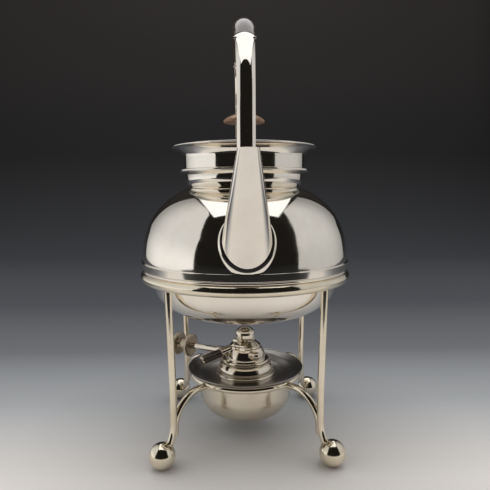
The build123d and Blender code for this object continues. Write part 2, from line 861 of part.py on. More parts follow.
def make_wick_tube():
    """Tube that guides the wick, slotted where the toothed wheel reaches in."""
    foot_z = wick_tube_top_z - wick_tube_length
    tube = spun_polygon(
        (wick_bore, foot_z), (wick_tube_radius, foot_z),
        (wick_tube_radius, wick_tube_top_z), (wick_bore, wick_tube_top_z),
    )
    half = winder_wheel_thick / 2 + loose_clearance
    return tube - winder_rod(-half, half, winder_wheel_radius + loose_clearance)


def make_winder_bush():
    """Gland where the winder's shaft enters the burner."""
    bush = winder_rod(winder_bush_start - 3, winder_bush_end - 1.5, winder_bush_radius)
    bush += winder_rod(winder_bush_end - 1.5, winder_bush_end, winder_bush_radius - 0.6)
    bush -= winder_rod(0, winder_bush_end + 1, winder_shaft_radius + running_clearance)
    room = spun_polygon(
        (0, tier_base_z - 1), (tier_radius - fitting_wall, tier_base_z - 1),
        (tier_radius - fitting_wall, tier_base_z + 2), (tier_top_radius - fitting_wall, lip_z), (0, lip_z),
    )
    return bush - room


def make_winder_end_cap():
    """Domed blind bearing at the far end of the winder's shaft."""
    tail = -winder_tail
    cap = winder_rod(tail + 5, tail, winder_cap_radius)
    ball = Pos(*winder_point(tail)) * Sphere(winder_cap_radius)
    cap += ball
    cap -= winder_rod(tail + 6, tail, winder_shaft_radius + running_clearance)
    room = spun_polygon(
        (0, tier_base_z - 1), (tier_radius - fitting_wall, tier_base_z - 1),
        (tier_radius - fitting_wall, tier_base_z + 2), (tier_top_radius - fitting_wall, lip_z), (0, lip_z),
    )
    cut = cap - room
    return max(cut.solids(), key=lambda solid: solid.volume)


def make_winder_shaft():
    """Shaft from its blind bearing past the wick and out to the knob."""
    return winder_rod(-winder_tail + 0.3, knob_end - 1, winder_shaft_radius)


def make_winder_wheel():
    """Small toothed wheel that bites the wick."""
    half = winder_wheel_thick / 2
    wheel = winder_rod(-half, half, winder_wheel_radius)
    gap_radius = 0.8
    axis = Vector(*winder_point(half)) - Vector(*winder_point(-half))
    across = Plane(origin=winder_point(-half), x_dir=(0, 0, 1), z_dir=axis)
    gaps = across * PolarLocations(winder_wheel_radius - winder_tooth_depth + gap_radius, winder_tooth_count)
    for place in gaps:
        wheel -= place * Cylinder(gap_radius, 4 * winder_wheel_thick)
    return wheel - winder_rod(-2 * half, 2 * half, winder_shaft_radius)


def make_winder_knob():
    """Spool-shaped knob: two discs with a waist between them."""
    edge = 0.6
    waist_start = knob_start + knob_disc_thick
    waist_end = waist_start + knob_waist_length
    knob = winder_rod(waist_start, waist_end, knob_waist_radius)
    for start in (knob_start, waist_end):
        knob += winder_rod(start, start + knob_disc_thick, knob_disc_radius - edge)
        knob += winder_rod(start + edge, start + knob_disc_thick - edge, knob_disc_radius)
    return knob - winder_rod(knob_start - 1, knob_end - 1, winder_shaft_radius)


def make_wick():
    """Round cotton wick, hanging in the fuel."""
    return Pos(0, 0, wick_top_z) * Cylinder(
        wick_radius, wick_length, align=(Align.CENTER, Align.CENTER, Align.MAX)
    )


def burner_handle_point(along):
    """A point on the burner handle's axis, measured from where it leaves the upper tier."""
    turn, slope = radians(handle_angle), radians(handle_slope)
    reach = handle_start_radius + along * cos(slope)
    return (-cos(turn) * reach, -sin(turn) * reach, handle_start_z - along * sin(slope))


def burner_handle_rod(start, end, radius):
    """A round bar along the burner handle's axis."""
    return rod(burner_handle_point(start), burner_handle_point(end), radius)


def make_handle_ferrule(tier, lip, ledge):
    """Metal socket of the burner's handle, fixed to the upper tier and saddled over the gland."""
    ferrule = burner_handle_rod(ferrule_start, ferrule_end, ferrule_radius)
    ferrule += burner_handle_rod(ferrule_end - 1.2, ferrule_end, ferrule_radius + 0.5)
    ferrule -= burner_handle_rod(ferrule_end - burner_grip_socket, ferrule_end + 1, burner_grip_radius - 1.2)
    inside = spun_polygon(
        (0, tier_base_z - 2), (tier_radius - fitting_wall / 2, tier_base_z - 2),
        (tier_radius - fitting_wall / 2, tier_base_z + 2), (tier_top_radius - 0.2, lip_z),
        (lip_radius - 0.2, lip_top_z), (0, lip_top_z),
    )
    gland = winder_rod(0, winder_bush_end + 1, winder_bush_radius)
    cut = ferrule - inside - gland - tier - lip - ledge
    return max(cut.solids(), key=lambda solid: solid.volume)


def make_burner_handle():
    """Plain dark handle with a reduced end in the ferrule."""
    grip = burner_handle_rod(ferrule_end, ferrule_end + burner_grip_length, burner_grip_radius)
    socket = burner_handle_rod(
        ferrule_end - burner_grip_socket, ferrule_end, burner_grip_radius - 1.2
    )
    return grip + socket


def make_handle_end_cap():
    """Bright metal cap on the handle's end."""
    start = ferrule_end + burner_grip_length
    return burner_handle_rod(start, start + grip_cap_length, grip_cap_radius)


# ---------------------------------------------------------------- snuffer
def snuffer_rod(start, end, radius):
    """A round bar along the snuffer's hinge."""
    return winder_rod(start, end, radius, offset=snuffer_hinge_offset, z=snuffer_hinge_z)


def snuffer_slab(points, start, end):
    """A plate across the snuffer's hinge, from an outline of (distance out, height)."""
    axis = Vector(*winder_point(1)) - Vector(*winder_point(0))
    out = Vector(*winder_point(0, 1)) - Vector(*winder_point(0, 0))
    base = Plane(origin=Vector(*winder_point(start, 0, 0)), x_dir=out, z_dir=axis)
    if base.y_dir.Z < 0:
        base = Plane(origin=base.origin, x_dir=out, z_dir=-axis)
        return extrude(base * make_face(points), amount=start - end)
    return extrude(base * make_face(points), amount=end - start)


def make_snuffer_knuckle(start, end, lip, tier):
    """A fixed knuckle on a short foot at the edge of the lip."""
    foot = Polyline(
        (snuffer_hinge_offset - 2.2, lip_z), (snuffer_hinge_offset + 0.9, lip_z),
        (snuffer_hinge_offset + 0.9, snuffer_hinge_z), (snuffer_hinge_offset - 1.2, snuffer_hinge_z),
        close=True,
    )
    knuckle = snuffer_rod(start, end, snuffer_knuckle_radius) + snuffer_slab(foot, start, end)
    return knuckle - snuffer_rod(start - 1, end + 1, snuffer_pin_radius) - lip - tier


def make_snuffer_pin():
    """Pin held by the fixed knuckles; the snuffer's knuckle turns on it."""
    return snuffer_rod(-snuffer_knuckle_right - 0.4, snuffer_knuckle_left + 0.4, snuffer_pin_radius)


def make_snuffer_cap():
    """Round-topped cap that covers the wick."""
    outer, inner = snuffer_radius, snuffer_radius - snuffer_wall
    spring_z = snuffer_foot_z + snuffer_straight
    top_z = spring_z + snuffer_dome_rise
    return spun(
        Line((outer, snuffer_foot_z), (outer, spring_z)),
        squared_quarter(outer, snuffer_dome_rise, 2, spring_z),
        Line((0, top_z), (0, top_z - snuffer_wall)),
        squared_quarter(inner, snuffer_dome_rise - snuffer_wall, 2, spring_z),
        Polyline((inner, spring_z), (inner, snuffer_foot_z), (outer, snuffer_foot_z)),
    )


def make_snuffer_leaf(cap):
    """Leaf from the cap to the moving knuckle, with a curled thumb piece."""
    half = snuffer_leaf_width / 2
    offset, z = snuffer_hinge_offset, snuffer_hinge_z
    leaf_outline = Polyline(
        (snuffer_radius - 0.5, snuffer_foot_z + 0.4), (snuffer_radius - 0.5, snuffer_foot_z + 2.0),
        (offset - 0.6, z + 2.6), (offset + 1.1, z + 0.8), (offset - 0.9, z + 0.8), close=True,
    )
    leaf = snuffer_slab(leaf_outline, -half, half)
    stalk_outline = Polyline(
        (offset - 0.4, z + 0.4), (offset + 1.0, z + 0.4),
        (offset + thumb_curl_out, z + thumb_curl_rise - 0.6),
        (offset + thumb_curl_out - 1.4, z + thumb_curl_rise - 0.4), close=True,
    )
    leaf += snuffer_slab(stalk_outline, -half, half)
    leaf += snuffer_rod(-snuffer_knuckle_half, snuffer_knuckle_half, snuffer_knuckle_radius)
    curl_offset = offset + thumb_curl_out
    curl_z = z + thumb_curl_rise
    leaf += winder_rod(-half, half, thumb_curl_radius, offset=curl_offset, z=curl_z)
    leaf -= winder_rod(-2 * half, 2 * half, thumb_curl_bore, offset=curl_offset, z=curl_z)
    leaf -= snuffer_rod(
        -2 * snuffer_knuckle_half, 2 * snuffer_knuckle_half, snuffer_pin_radius + running_clearance
    )
    return leaf - cap - Cylinder(snuffer_radius - snuffer_wall / 2, 4 * snuffer_foot_z)


# ---------------------------------------------------------------- assembly
def make_handle():
    """The two feet and straps, the grip and its pins."""
    envelope = kettle_envelope()
    sides = {"front": -1, "rear": 1}
    feet = {name: make_handle_foot(side, envelope) for name, side in sides.items()}
    legs = {name: make_handle_leg(side, envelope, feet[name]) for name, side in sides.items()}
    pins = {name: make_handle_grip_pin(side) for name, side in sides.items()}
    pieces = {"handle_grip": make_handle_grip([*pins.values()])}
    for name in sides:
        pieces[f"handle_{name}_foot"] = feet[name]
        pieces[f"handle_{name}_leg"] = legs[name] - pins[name]
        pieces[f"handle_{name}_grip_pin"] = pins[name]
    return pieces


def make_kettle():
    """Every piece of the kettle and its lid."""
    handle = make_handle()
    belt = make_kettle_belt()
    dome = make_kettle_dome()
    rim = make_flared_rim()
    cover = make_lid_cover()
    return handle | {
        "kettle_bowl": make_kettle_bowl(),
        "kettle_dome": dome,
        "kettle_belt": belt,
        "neck_collar": make_neck_collar(dome),
        "neck_flange": make_neck_flange(),
        "flared_rim": rim,
        "lid_seat": make_lid_seat(),
        "spout": make_spout(belt, handle["handle_front_foot"]),
        "spout_base_ring": make_spout_base_ring(belt, handle["handle_front_foot"]),
        "lid_hinge_leaf_left": make_lid_hinge_leaf(rim, -1),
        "lid_hinge_leaf_right": make_lid_hinge_leaf(rim, 1),
        "lid_hinge_pin": make_lid_hinge_pin(),
        "lid_cover": cover,
        "lid_bezel": make_lid_bezel(),
        "lid_hinge_arm": make_lid_hinge_arm(cover),
        "finial_stem": make_finial_stem(cover),
        "finial_disc": make_finial_disc(),
        "finial_screw": make_finial_screw(),
    }


def make_stand():
    """The stand: two rings, and four legs with their balls and brackets."""
    ring, lamp_ring, ball = make_stand_ring(), make_lamp_ring(), make_foot_ball()
    leg = make_leg(ring, ball)
    bracket = make_bracket(lamp_ring, leg)
    pieces = {"stand_ring": ring, "lamp_ring": lamp_ring}
    corners = {"front_left": 225, "front_right": 315, "rear_right": 45, "rear_left": 135}
    for corner, angle in corners.items():
        turn = Rot(0, 0, angle)
        pieces["leg_" + corner] = turn * leg
        pieces["foot_ball_" + corner] = turn * ball
        pieces["bracket_" + corner] = turn * bracket
    return pieces


def make_burner():
    """The burner with its wick, winder, handle and snuffer."""
    dish = make_lamp_dish()
    bush, end_bush = make_winder_bush(), make_winder_end_cap()
    tier = make_burner_tier(bush, end_bush)
    lip, ledge = make_burner_lip(), make_burner_ledge()
    cap = make_snuffer_cap()
    knuckle_in = snuffer_knuckle_half + snuffer_knuckle_gap
    return {
        "lamp_dish": dish,
        "reservoir": make_reservoir(dish),
        "burner_drum": make_burner_drum(),
        "burner_ledge": ledge,
        "burner_tier": tier,
        "burner_lip": lip,
        "wick_tube": make_wick_tube(),
        "winder_bush": bush,
        "winder_end_cap": end_bush,
        "handle_ferrule": make_handle_ferrule(tier, lip, ledge),
        "burner_handle": make_burner_handle(),
        "handle_end_cap": make_handle_end_cap(),
        "snuffer_knuckle_left": make_snuffer_knuckle(knuckle_in, snuffer_knuckle_left, lip, tier),
        "snuffer_knuckle_right": make_snuffer_knuckle(-snuffer_knuckle_right, -knuckle_in, lip, tier),
        "snuffer_pin": make_snuffer_pin(),
        "wick": make_wick(),
        "winder_shaft": make_winder_shaft(),
        "winder_wheel": make_winder_wheel(),
        "winder_knob": make_winder_knob(),
        "snuffer_cap": cap,
        "snuffer_leaf": make_snuffer_leaf(cap),
    }


os.makedirs("parts", exist_ok=True)
for node, solid in {**make_kettle(), **make_stand(), **make_burner()}.items():
    export_step(solid, f"parts/{node}.step")
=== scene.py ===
import json
import math

import bmesh
import bpy
import numpy as np
from mathutils import Matrix


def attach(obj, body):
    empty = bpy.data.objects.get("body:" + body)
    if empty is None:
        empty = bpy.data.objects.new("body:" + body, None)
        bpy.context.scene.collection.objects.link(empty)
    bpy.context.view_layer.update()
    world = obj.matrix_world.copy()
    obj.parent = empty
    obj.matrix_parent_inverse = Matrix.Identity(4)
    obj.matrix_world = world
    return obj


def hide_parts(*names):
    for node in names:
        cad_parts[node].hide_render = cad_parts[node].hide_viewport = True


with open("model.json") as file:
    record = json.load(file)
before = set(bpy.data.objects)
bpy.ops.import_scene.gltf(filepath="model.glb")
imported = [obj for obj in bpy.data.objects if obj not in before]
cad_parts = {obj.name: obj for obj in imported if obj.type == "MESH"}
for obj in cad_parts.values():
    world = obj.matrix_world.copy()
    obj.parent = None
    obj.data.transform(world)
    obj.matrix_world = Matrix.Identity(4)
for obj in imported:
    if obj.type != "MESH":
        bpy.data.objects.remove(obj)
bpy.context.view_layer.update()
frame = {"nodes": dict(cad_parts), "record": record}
print("frame loaded:", len(frame["nodes"]), "nodes")

# Shapes are written in millimetres, in the frame's own axes, and go into the meshes in metres.
# A turned piece is an outline of (distance from the axis, place along it) carried round the axis.

# ---- surfaces

def gridFaces(rows, columns):
    # quads of a grid whose columns join up into a ring; row i, column j is vertex i * columns + j
    row, column = np.meshgrid(np.arange(rows - 1), np.arange(columns), indexing="ij")
    after = (column + 1) % columns
    quads = [row * columns + column, row * columns + after, (row + 1) * columns + after,
             (row + 1) * columns + column]
    return np.stack(quads, axis=-1).reshape(-1, 4)


def addObject(name, data):
    thing = bpy.data.objects.new(name, data)
    bpy.context.scene.collection.objects.link(thing)
    return thing


def newMaterial(name):
    material = bpy.data.materials.new(name)
    material.use_nodes = True
    return material, material.node_tree


def ringAngles(count):
    return np.linspace(0, math.tau, count, endpoint=False)


def addPiece(name, points, faces, body, nodes=(), finish=None, sharpAngle=38):
    # one mesh from numpy arrays: doubles at poles and seams merged, faces turned outwards, smooth;
    # it has its body's usual finish unless another is named
    closest, thinnest = 2e-7, 1e-8  # metres
    mesh = bpy.data.meshes.new(name)
    mesh.from_pydata((points.reshape(-1, 3) * 0.001).tolist(), [], faces.tolist())
    work = bmesh.new()
    work.from_mesh(mesh)
    bmesh.ops.remove_doubles(work, verts=work.verts, dist=closest)
    bmesh.ops.dissolve_degenerate(work, dist=thinnest, edges=work.edges)
    bmesh.ops.recalc_face_normals(work, faces=work.faces)
    work.to_mesh(mesh)
    work.free()
    mesh.shade_smooth()
    mesh.set_sharp_from_angle(angle=math.radians(sharpAngle))
    piece = addObject(name, mesh)
    mesh.materials.append(finishes[finish or usualFinish[body]])
    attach(piece, body)
    if nodes:
        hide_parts(*nodes)
    return piece


def cornerAt(before, spot, after):
    # the two runs at a corner as arrows of length one, their lengths, and half the angle between them
    inward, outward = before - spot, after - spot
    lengths = np.linalg.norm(inward), np.linalg.norm(outward)
    inward, outward = inward / lengths[0], outward / lengths[1]
    return inward, outward, lengths, 0.5 * math.acos(float(np.clip(inward @ outward, -1, 1)))


def cornerArc(spot, inward, outward, half, reach, samples=None, step=None):
    # arc that touches both runs at a distance of reach from the corner
    radius = reach * math.tan(half)
    middle = spot + (inward + outward) / np.linalg.norm(inward + outward) * radius / math.sin(half)
    first, last = spot + inward * reach - middle, spot + outward * reach - middle
    sweep = math.atan2(first[0] * last[1] - first[1] * last[0], float(first @ last))
    turn = np.linspace(0, sweep, samples or max(6, int(abs(sweep) * radius / step)))
    return middle + np.stack([first[0] * np.cos(turn) - first[1] * np.sin(turn),
                              first[0] * np.sin(turn) + first[1] * np.cos(turn)], axis=-1)


def roundedOutline(corners, samples=7):
    # closed outline with each corner (a, b, radius) swung round in an arc, and a close point beside each arc
    usualRadius, nearlyStraight, mostOfRun = 0.25, 1.55, 0.45
    spots = np.array([corner[:2] for corner in corners], float)
    radii = [corner[2] if len(corner) > 2 else usualRadius for corner in corners]
    line = []
    for index, spot in enumerate(spots):
        inward, outward, lengths, half = cornerAt(spots[index - 1], spot, spots[(index + 1) % len(spots)])
        if radii[index] <= 0 or half > nearlyStraight:
            line.append(spot[None])
            continue
        reach = min(radii[index] / math.tan(half), mostOfRun * lengths[0], mostOfRun * lengths[1])
        arc = cornerArc(spot, inward, outward, half, reach, samples)
        support = min(0.3 * reach, 0.12)
        line += [(arc[0] + inward * support)[None], arc, (arc[-1] + outward * support)[None]]
    return np.vstack(line)


def arcRun(center, radius, start, end, samples=16):
    # points of a circular arc, angles in degrees
    turn = np.radians(np.linspace(start, end, samples))
    return np.stack([center[0] + radius * np.cos(turn), center[1] + radius * np.sin(turn)], axis=-1)


def threePointRun(first, middle, last, samples=18):
    # points of the circular arc through three points
    first, middle, last = (np.array(point, float) for point in (first, middle, last))
    system = 2 * np.array([middle - first, last - first])
    center = np.linalg.solve(system, [middle @ middle - first @ first, last @ last - first @ first])
    angles = [math.atan2(*(point - center)[::-1]) for point in (first, middle, last)]
    sweep = (angles[2] - angles[0]) % math.tau
    if (angles[1] - angles[0]) % math.tau > sweep:
        sweep -= math.tau
    turn = angles[0] + np.linspace(0, sweep, samples)
    radius = np.linalg.norm(first - center)
    return center + radius * np.stack([np.cos(turn), np.sin(turn)], axis=-1)


def squaredRun(widest, rise, squareness, baseZ, innerRadius=0.0, samples=72):
    # squared-off ellipse: radius = widest * cos^(2/n), height = base + rise * sin^(2/n), in to a smaller radius
    last = math.acos((innerRadius / widest) ** (squareness / 2)) if innerRadius else math.pi / 2
    turn = last * np.linspace(0, 1, samples) ** 1.15
    cosine = np.clip(np.cos(turn), 0, 1)
    power = 2 / squareness
    return np.stack([widest * cosine ** power, baseZ + rise * np.sin(turn) ** power], axis=-1)


def turnedPiece(name, outline, body, nodes=(), finish=None, origin=(0, 0, 0), along=(0, 0, 1), turns=160,
                knurl=None, sharpAngle=38):
    # point = origin + along * place + distance * (side cos t + other sin t);
    # knurl(distance, place, t) adds to distance
    outline = np.vstack([outline, outline[:1]])
    along = np.array(along, float) / np.linalg.norm(along)
    side = np.cross(along, (0.0, 0.0, 1.0)) if abs(along[2]) < 0.9 else np.array((1.0, 0.0, 0.0))
    side /= np.linalg.norm(side)
    other = np.cross(along, side)
    angle = ringAngles(turns)
    distance = np.repeat(outline[:, :1], turns, axis=1)
    if knurl:
        distance = distance + knurl(outline[:, :1], outline[:, 1:], angle[None, :])
    ring = distance[..., None] * (side * np.cos(angle)[:, None] + other * np.sin(angle)[:, None])[None]
    points = np.array(origin, float) + outline[:, None, 1:] * along + ring
    return addPiece(name, points, gridFaces(len(outline), turns), body, nodes, finish, sharpAngle)


def sweptPiece(name, path, across, halfAcross, halfOut, body, nodes=(), finish=None, section=None, turns=40,
               endRound=0.6):
    # a section along a path that lies in one plane:
    # point = path + across * a * section side + out * b * section rise,
    # where the section is an oval (cos t, sin t) unless an outline in shares of a and b is given
    path = np.array(path, float)
    count = len(path)
    halfAcross = np.broadcast_to(np.array(halfAcross, float), count)
    halfOut = np.broadcast_to(np.array(halfOut, float), count)
    tangent = np.gradient(path, axis=0)
    tangent /= np.linalg.norm(tangent, axis=1)[:, None]
    across = np.array(across, float) / np.linalg.norm(across)
    out = np.cross(tangent, across)
    angle = ringAngles(turns)
    first, second = (np.cos(angle), np.sin(angle)) if section is None else (section[:, 0], section[:, 1])
    # each end closes at a point, and its edge is rounded in four steps of inset and height
    inset = endRound * np.array([1.0, 0.55, 0.18, 0.0])
    bevel = endRound * np.array([0.0, 0.0, 0.25, 0.7, 1.0])
    rows = np.concatenate([np.zeros(5, int), np.arange(count), np.full(5, count - 1)])
    small = np.minimum(halfAcross, halfOut)
    shrink, lift = np.ones(count + 10), np.zeros(count + 10)
    shrink[:5] = np.concatenate([[0.0], 1 - inset / small[0]])
    shrink[-5:] = np.concatenate([1 - inset[::-1] / small[-1], [0.0]])
    lift[:5], lift[-5:] = bevel - endRound, endRound - bevel[::-1]
    center = path[rows] + tangent[rows] * lift[:, None]
    a = (halfAcross[rows] * shrink)[:, None] * first
    b = (halfOut[rows] * shrink)[:, None] * second
    points = center[:, None] + a[..., None] * across + b[..., None] * out[rows][:, None]
    return addPiece(name, points, gridFaces(len(rows), len(first)), body, nodes, finish)


def bentPath(corners, radii, step=0.9):
    # straight runs in a plane joined by tangent arcs, sampled evenly enough for a smooth bar
    corners = np.array(corners, float)
    runs = [corners[:1]]
    for index in range(1, len(corners) - 1):
        inward, outward, _, half = cornerAt(*corners[index - 1:index + 2])
        reach = radii[index - 1] / math.tan(half)
        runs.append(cornerArc(corners[index], inward, outward, half, reach, step=step))
    line = np.vstack(runs + [corners[-1:]])
    length = np.concatenate([[0], np.cumsum(np.linalg.norm(np.diff(line, axis=0), axis=1))])
    even = np.linspace(0, length[-1], max(8, int(length[-1] / step)))
    return np.stack([np.interp(even, length, line[:, 0]), np.interp(even, length, line[:, 1])], axis=-1)


# ---- finishes

def newGroup(name, inputs):
    # a node group that gives a colour, a roughness and a height; an input's kind follows from its value
    kinds = {1: "NodeSocketFloat", 3: "NodeSocketVector", 4: "NodeSocketColor"}
    group = bpy.data.node_groups.new(name, "ShaderNodeTree")
    for label, value in inputs.items():
        socket = group.interface.new_socket(label, in_out="INPUT", socket_type=kinds[np.size(value)])
        socket.default_value = value
    for label, size in (("Color", 4), ("Roughness", 1), ("Height", 1)):
        group.interface.new_socket(label, in_out="OUTPUT", socket_type=kinds[size])
    return group, group.nodes.new("NodeGroupInput").outputs, group.nodes.new("NodeGroupOutput").inputs


def feed(tree, socket, value):
    # a socket takes another node's output by a link, and a number or colour as its own value
    if isinstance(value, bpy.types.NodeSocket):
        tree.links.new(value, socket)
    else:
        socket.default_value = value


def feedAll(tree, sockets, **values):
    for label, value in values.items():
        feed(tree, sockets[label.replace("_", " ")], value)


def addNode(tree, kind, settings=(), **values):
    node = tree.nodes.new(kind)
    for label, value in dict(settings).items():
        setattr(node, label, value)
    feedAll(tree, node.inputs, **values)
    return node


def feedSurface(tree, **values):
    feedAll(tree, tree.nodes["Principled BSDF"].inputs, **values)


def addMath(tree, operation, *values):
    node = addNode(tree, "ShaderNodeMath", {"operation": operation})
    for socket, value in zip(node.inputs, values):
        feed(tree, socket, value)
    return node.outputs[0]


def addRamp(tree, source, stops):
    # tones by place: a stop is (place, grey) or (place, (red, green, blue))
    ramp = addNode(tree, "ShaderNodeValToRGB", Fac=source)
    while len(ramp.color_ramp.elements) < len(stops):
        ramp.color_ramp.elements.new(0.5)
    for element, (place, tone) in zip(ramp.color_ramp.elements, stops):
        element.position = place
        element.color = (*tone, 1) if isinstance(tone, tuple) else (tone, tone, tone, 1)
    return ramp.outputs["Color"]


def addMix(tree, amount, first, second):
    mix = addNode(tree, "ShaderNodeMix", {"data_type": "RGBA"}, Factor=amount, A=first, B=second)
    return mix.outputs["Result"]


def addMapRange(tree, value, fromMin, fromMax, toMin, toMax, settings=()):
    node = addNode(tree, "ShaderNodeMapRange", settings, Value=value, From_Min=fromMin, From_Max=fromMax,
                   To_Min=toMin, To_Max=toMax)
    return node.outputs["Result"]


def objectPlace(tree):
    return addNode(tree, "ShaderNodeTexCoord").outputs["Object"]


def makePolishGroup():
    # handled silver: faint swirl marks, soft cloudy bloom, and a gentle unevenness of the spun sheet
    group, given, result = newGroup("handledPolish", {
        "Metal": (0.9, 0.9, 0.88, 1), "Tarnish": (0.6, 0.5, 0.38, 1), "Tarnish Amount": 0.1,
        "Polish": 0.05, "Marks": 0.05, "Waviness": 0.1})
    place = objectPlace(group)
    hairs = addNode(group, "ShaderNodeMapping", Vector=place, Scale=(160, 900, 2400), Rotation=(0.5, 0.9, 0.3))

    def noise(vector, **values):
        return addNode(group, "ShaderNodeTexNoise", Vector=vector, **values).outputs["Fac"]

    cloud = noise(place, Scale=38.0, Detail=5.0, Roughness=0.62)
    swirl = noise(place, Scale=420.0, Detail=3.0, Roughness=0.7, Distortion=1.4)
    sheet = noise(place, Scale=24.0, Detail=1.0, Roughness=0.3)
    scratch = noise(hairs.outputs["Vector"], Scale=1.0, Detail=2.0, Roughness=0.6)
    amount = addMath(group, "MULTIPLY", addRamp(group, cloud, [(0.42, 0.0), (0.78, 1.0)]),
                     given["Tarnish Amount"])
    feed(group, result["Color"], addMix(group, amount, given["Metal"], given["Tarnish"]))
    # tarnish is duller than clean metal, and marks are rougher
    fine = addRamp(group, scratch, [(0.55, 0.0), (0.75, 1.0)])
    marks = addMath(group, "MULTIPLY_ADD", swirl, 0.6, fine)
    rough = addMath(group, "MULTIPLY_ADD", marks, given["Marks"], given["Polish"])
    feed(group, result["Roughness"], addMath(group, "MULTIPLY_ADD", amount, 0.35, rough))
    wave = addMath(group, "MULTIPLY", sheet, given["Waviness"])
    feed(group, result["Height"], addMath(group, "MULTIPLY_ADD", fine, -0.004, wave))
    return group


def makeGrainGroup():
    # turned hardwood: long streaks along X, Y or Z with fine dark pores
    group, given, result = newGroup("woodGrain", {
        "Light": (0.4, 0.25, 0.15, 1), "Dark": (0.1, 0.06, 0.04, 1), "Grain": (60.0, 60.0, 900.0),
        "Shine": 0.3})
    stretch = addNode(group, "ShaderNodeMapping", Vector=objectPlace(group), Scale=given["Grain"])
    along = stretch.outputs["Vector"]
    streak = addNode(group, "ShaderNodeTexNoise", Vector=along, Scale=1.0, Detail=6.0, Roughness=0.65,
                     Distortion=0.4).outputs["Fac"]
    pores = addNode(group, "ShaderNodeTexNoise", Vector=along, Scale=5.0, Detail=2.0,
                    Roughness=0.5).outputs["Fac"]
    streaks = addRamp(group, streak, [(0.34, 0.0), (0.66, 1.0)])
    dots = addRamp(group, pores, [(0.60, 0.0), (0.70, 1.0)])
    wood = addMix(group, streaks, given["Dark"], given["Light"])
    feed(group, result["Color"], addMix(group, addMath(group, "MULTIPLY", dots, 0.55), wood, given["Dark"]))
    feed(group, result["Roughness"], addMath(group, "MULTIPLY_ADD", streak, 0.18, given["Shine"]))
    feed(group, result["Height"], addMath(group, "MULTIPLY", dots, -1.0))
    return group


polishGroup = makePolishGroup()
grainGroup = makeGrainGroup()


def finishFrom(name, group, values, metallic, bump, coat=0.0):
    # one Principled finish fed by a group's colour, roughness and height
    material, tree = newMaterial(name)
    pattern = addNode(tree, "ShaderNodeGroup", {"node_tree": group}, **values).outputs
    lift = addNode(tree, "ShaderNodeBump", Strength=1.0, Distance=bump, Height=pattern["Height"])
    feedSurface(tree, Base_Color=pattern["Color"], Roughness=pattern["Roughness"],
                Normal=lift.outputs["Normal"], Metallic=metallic, Coat_Weight=coat, Coat_Roughness=0.08)
    return material


plateFinishes = {
    # metal colour, tarnish colour, tarnish amount, polish (roughness), marks, waviness
    "kettleSilver": ((0.94, 0.89, 0.805, 1), (0.66, 0.52, 0.39, 1), 0.24, 0.04, 0.04, 0.14),
    # the stand's silver is a darker, warmer copy of the kettle's: partly its own plate tone, partly painted
    # shade for the shadowed floor that its balls and legs reflect
    "standSilverPaintedShade": ((0.87, 0.79, 0.645, 1), (0.56, 0.42, 0.26, 1), 0.35, 0.06, 0.06, 0.12),
    "burnerSilver": ((0.83, 0.76, 0.65, 1), (0.42, 0.32, 0.22, 1), 0.35, 0.06, 0.06, 0.12),
    "reservoirSilver": ((0.75, 0.685, 0.57, 1), (0.44, 0.36, 0.26, 1), 0.35, 0.13, 0.08, 0.12),
    # the dish's silver is darkened to about half: painted shade, standing in for the dark reflection of the
    # kettle's bowl above it
    "dishSilverPaintedShade": ((0.50, 0.475, 0.45, 1), (0.32, 0.28, 0.25, 1), 0.20, 0.28, 0.05, 0.12),
    "knobMetal": ((0.54, 0.455, 0.35, 1), (0.20, 0.15, 0.11, 1), 0.50, 0.20, 0.12, 0.10),
    "pinSteel": ((0.62, 0.61, 0.60, 1), (0.35, 0.30, 0.25, 1), 0.30, 0.24, 0.14, 0.05),
}
finishes = {}
for label, (metal, tarnish, amount, polish, marks, waviness) in plateFinishes.items():
    finishes[label] = finishFrom(label, polishGroup, {
        "Metal": metal, "Tarnish": tarnish, "Tarnish Amount": amount, "Polish": polish, "Marks": marks,
        "Waviness": waviness}, metallic=1.0, bump=0.00018)

woodFinishes = {
    # light colour, dark colour, grain stretch, shine (roughness), varnish
    "gripWood": ((0.22, 0.135, 0.09, 1), (0.055, 0.032, 0.022, 1), (700.0, 70.0, 320.0), 0.16, 1.0),
    "finialWood": ((0.66, 0.35, 0.155, 1), (0.34, 0.16, 0.065, 1), (120.0, 620.0, 620.0), 0.24, 0.5),
    "handleWood": ((0.15, 0.11, 0.085, 1), (0.035, 0.026, 0.021, 1), (90.0, 520.0, 520.0), 0.12, 0.9),
}
for label, (light, dark, grain, shine, varnish) in woodFinishes.items():
    values = {"Light": light, "Dark": dark, "Grain": grain, "Shine": shine}
    finishes[label] = finishFrom(label, grainGroup, values, metallic=0.0, bump=0.00006, coat=varnish)


def makeCotton():
    # braided cotton: two crossing sets of fine ribs, scorched a little at the top
    ribScales, charZ = {"DIAGONAL": (520.0, 1.5), "Z": (420.0, 2.0)}, (0.0735, 0.0763)
    material, tree = newMaterial("braidedCotton")
    place = objectPlace(tree)
    ribs = [addNode(tree, "ShaderNodeTexWave", {"bands_direction": way}, Vector=place, Scale=scale,
                    Distortion=wander).outputs["Fac"] for way, (scale, wander) in ribScales.items()]
    both = addMath(tree, "MULTIPLY", *ribs)
    split = addNode(tree, "ShaderNodeSeparateXYZ", Vector=place)
    char = addMapRange(tree, split.outputs["Z"], *charZ, 0.0, 0.75)
    cloth = addRamp(tree, both, [(0.0, (0.52, 0.46, 0.36)), (0.7, (0.86, 0.81, 0.70))])
    scorched = addMix(tree, char, cloth, (0.06, 0.045, 0.035, 1))
    lift = addNode(tree, "ShaderNodeBump", Strength=0.8, Distance=0.0003, Height=both)
    feedSurface(tree, Base_Color=scorched, Normal=lift.outputs["Normal"], Roughness=0.9)
    return material


finishes["cotton"] = makeCotton()
usualFinish = {
    "kettle": "kettleSilver", "lid": "kettleSilver", "stand": "standSilverPaintedShade", "burner": "burnerSilver",
    "winder": "burnerSilver", "snuffer": "burnerSilver", "wick": "cotton",
}
print("finishes made:", len(finishes))

# ---- kettle body

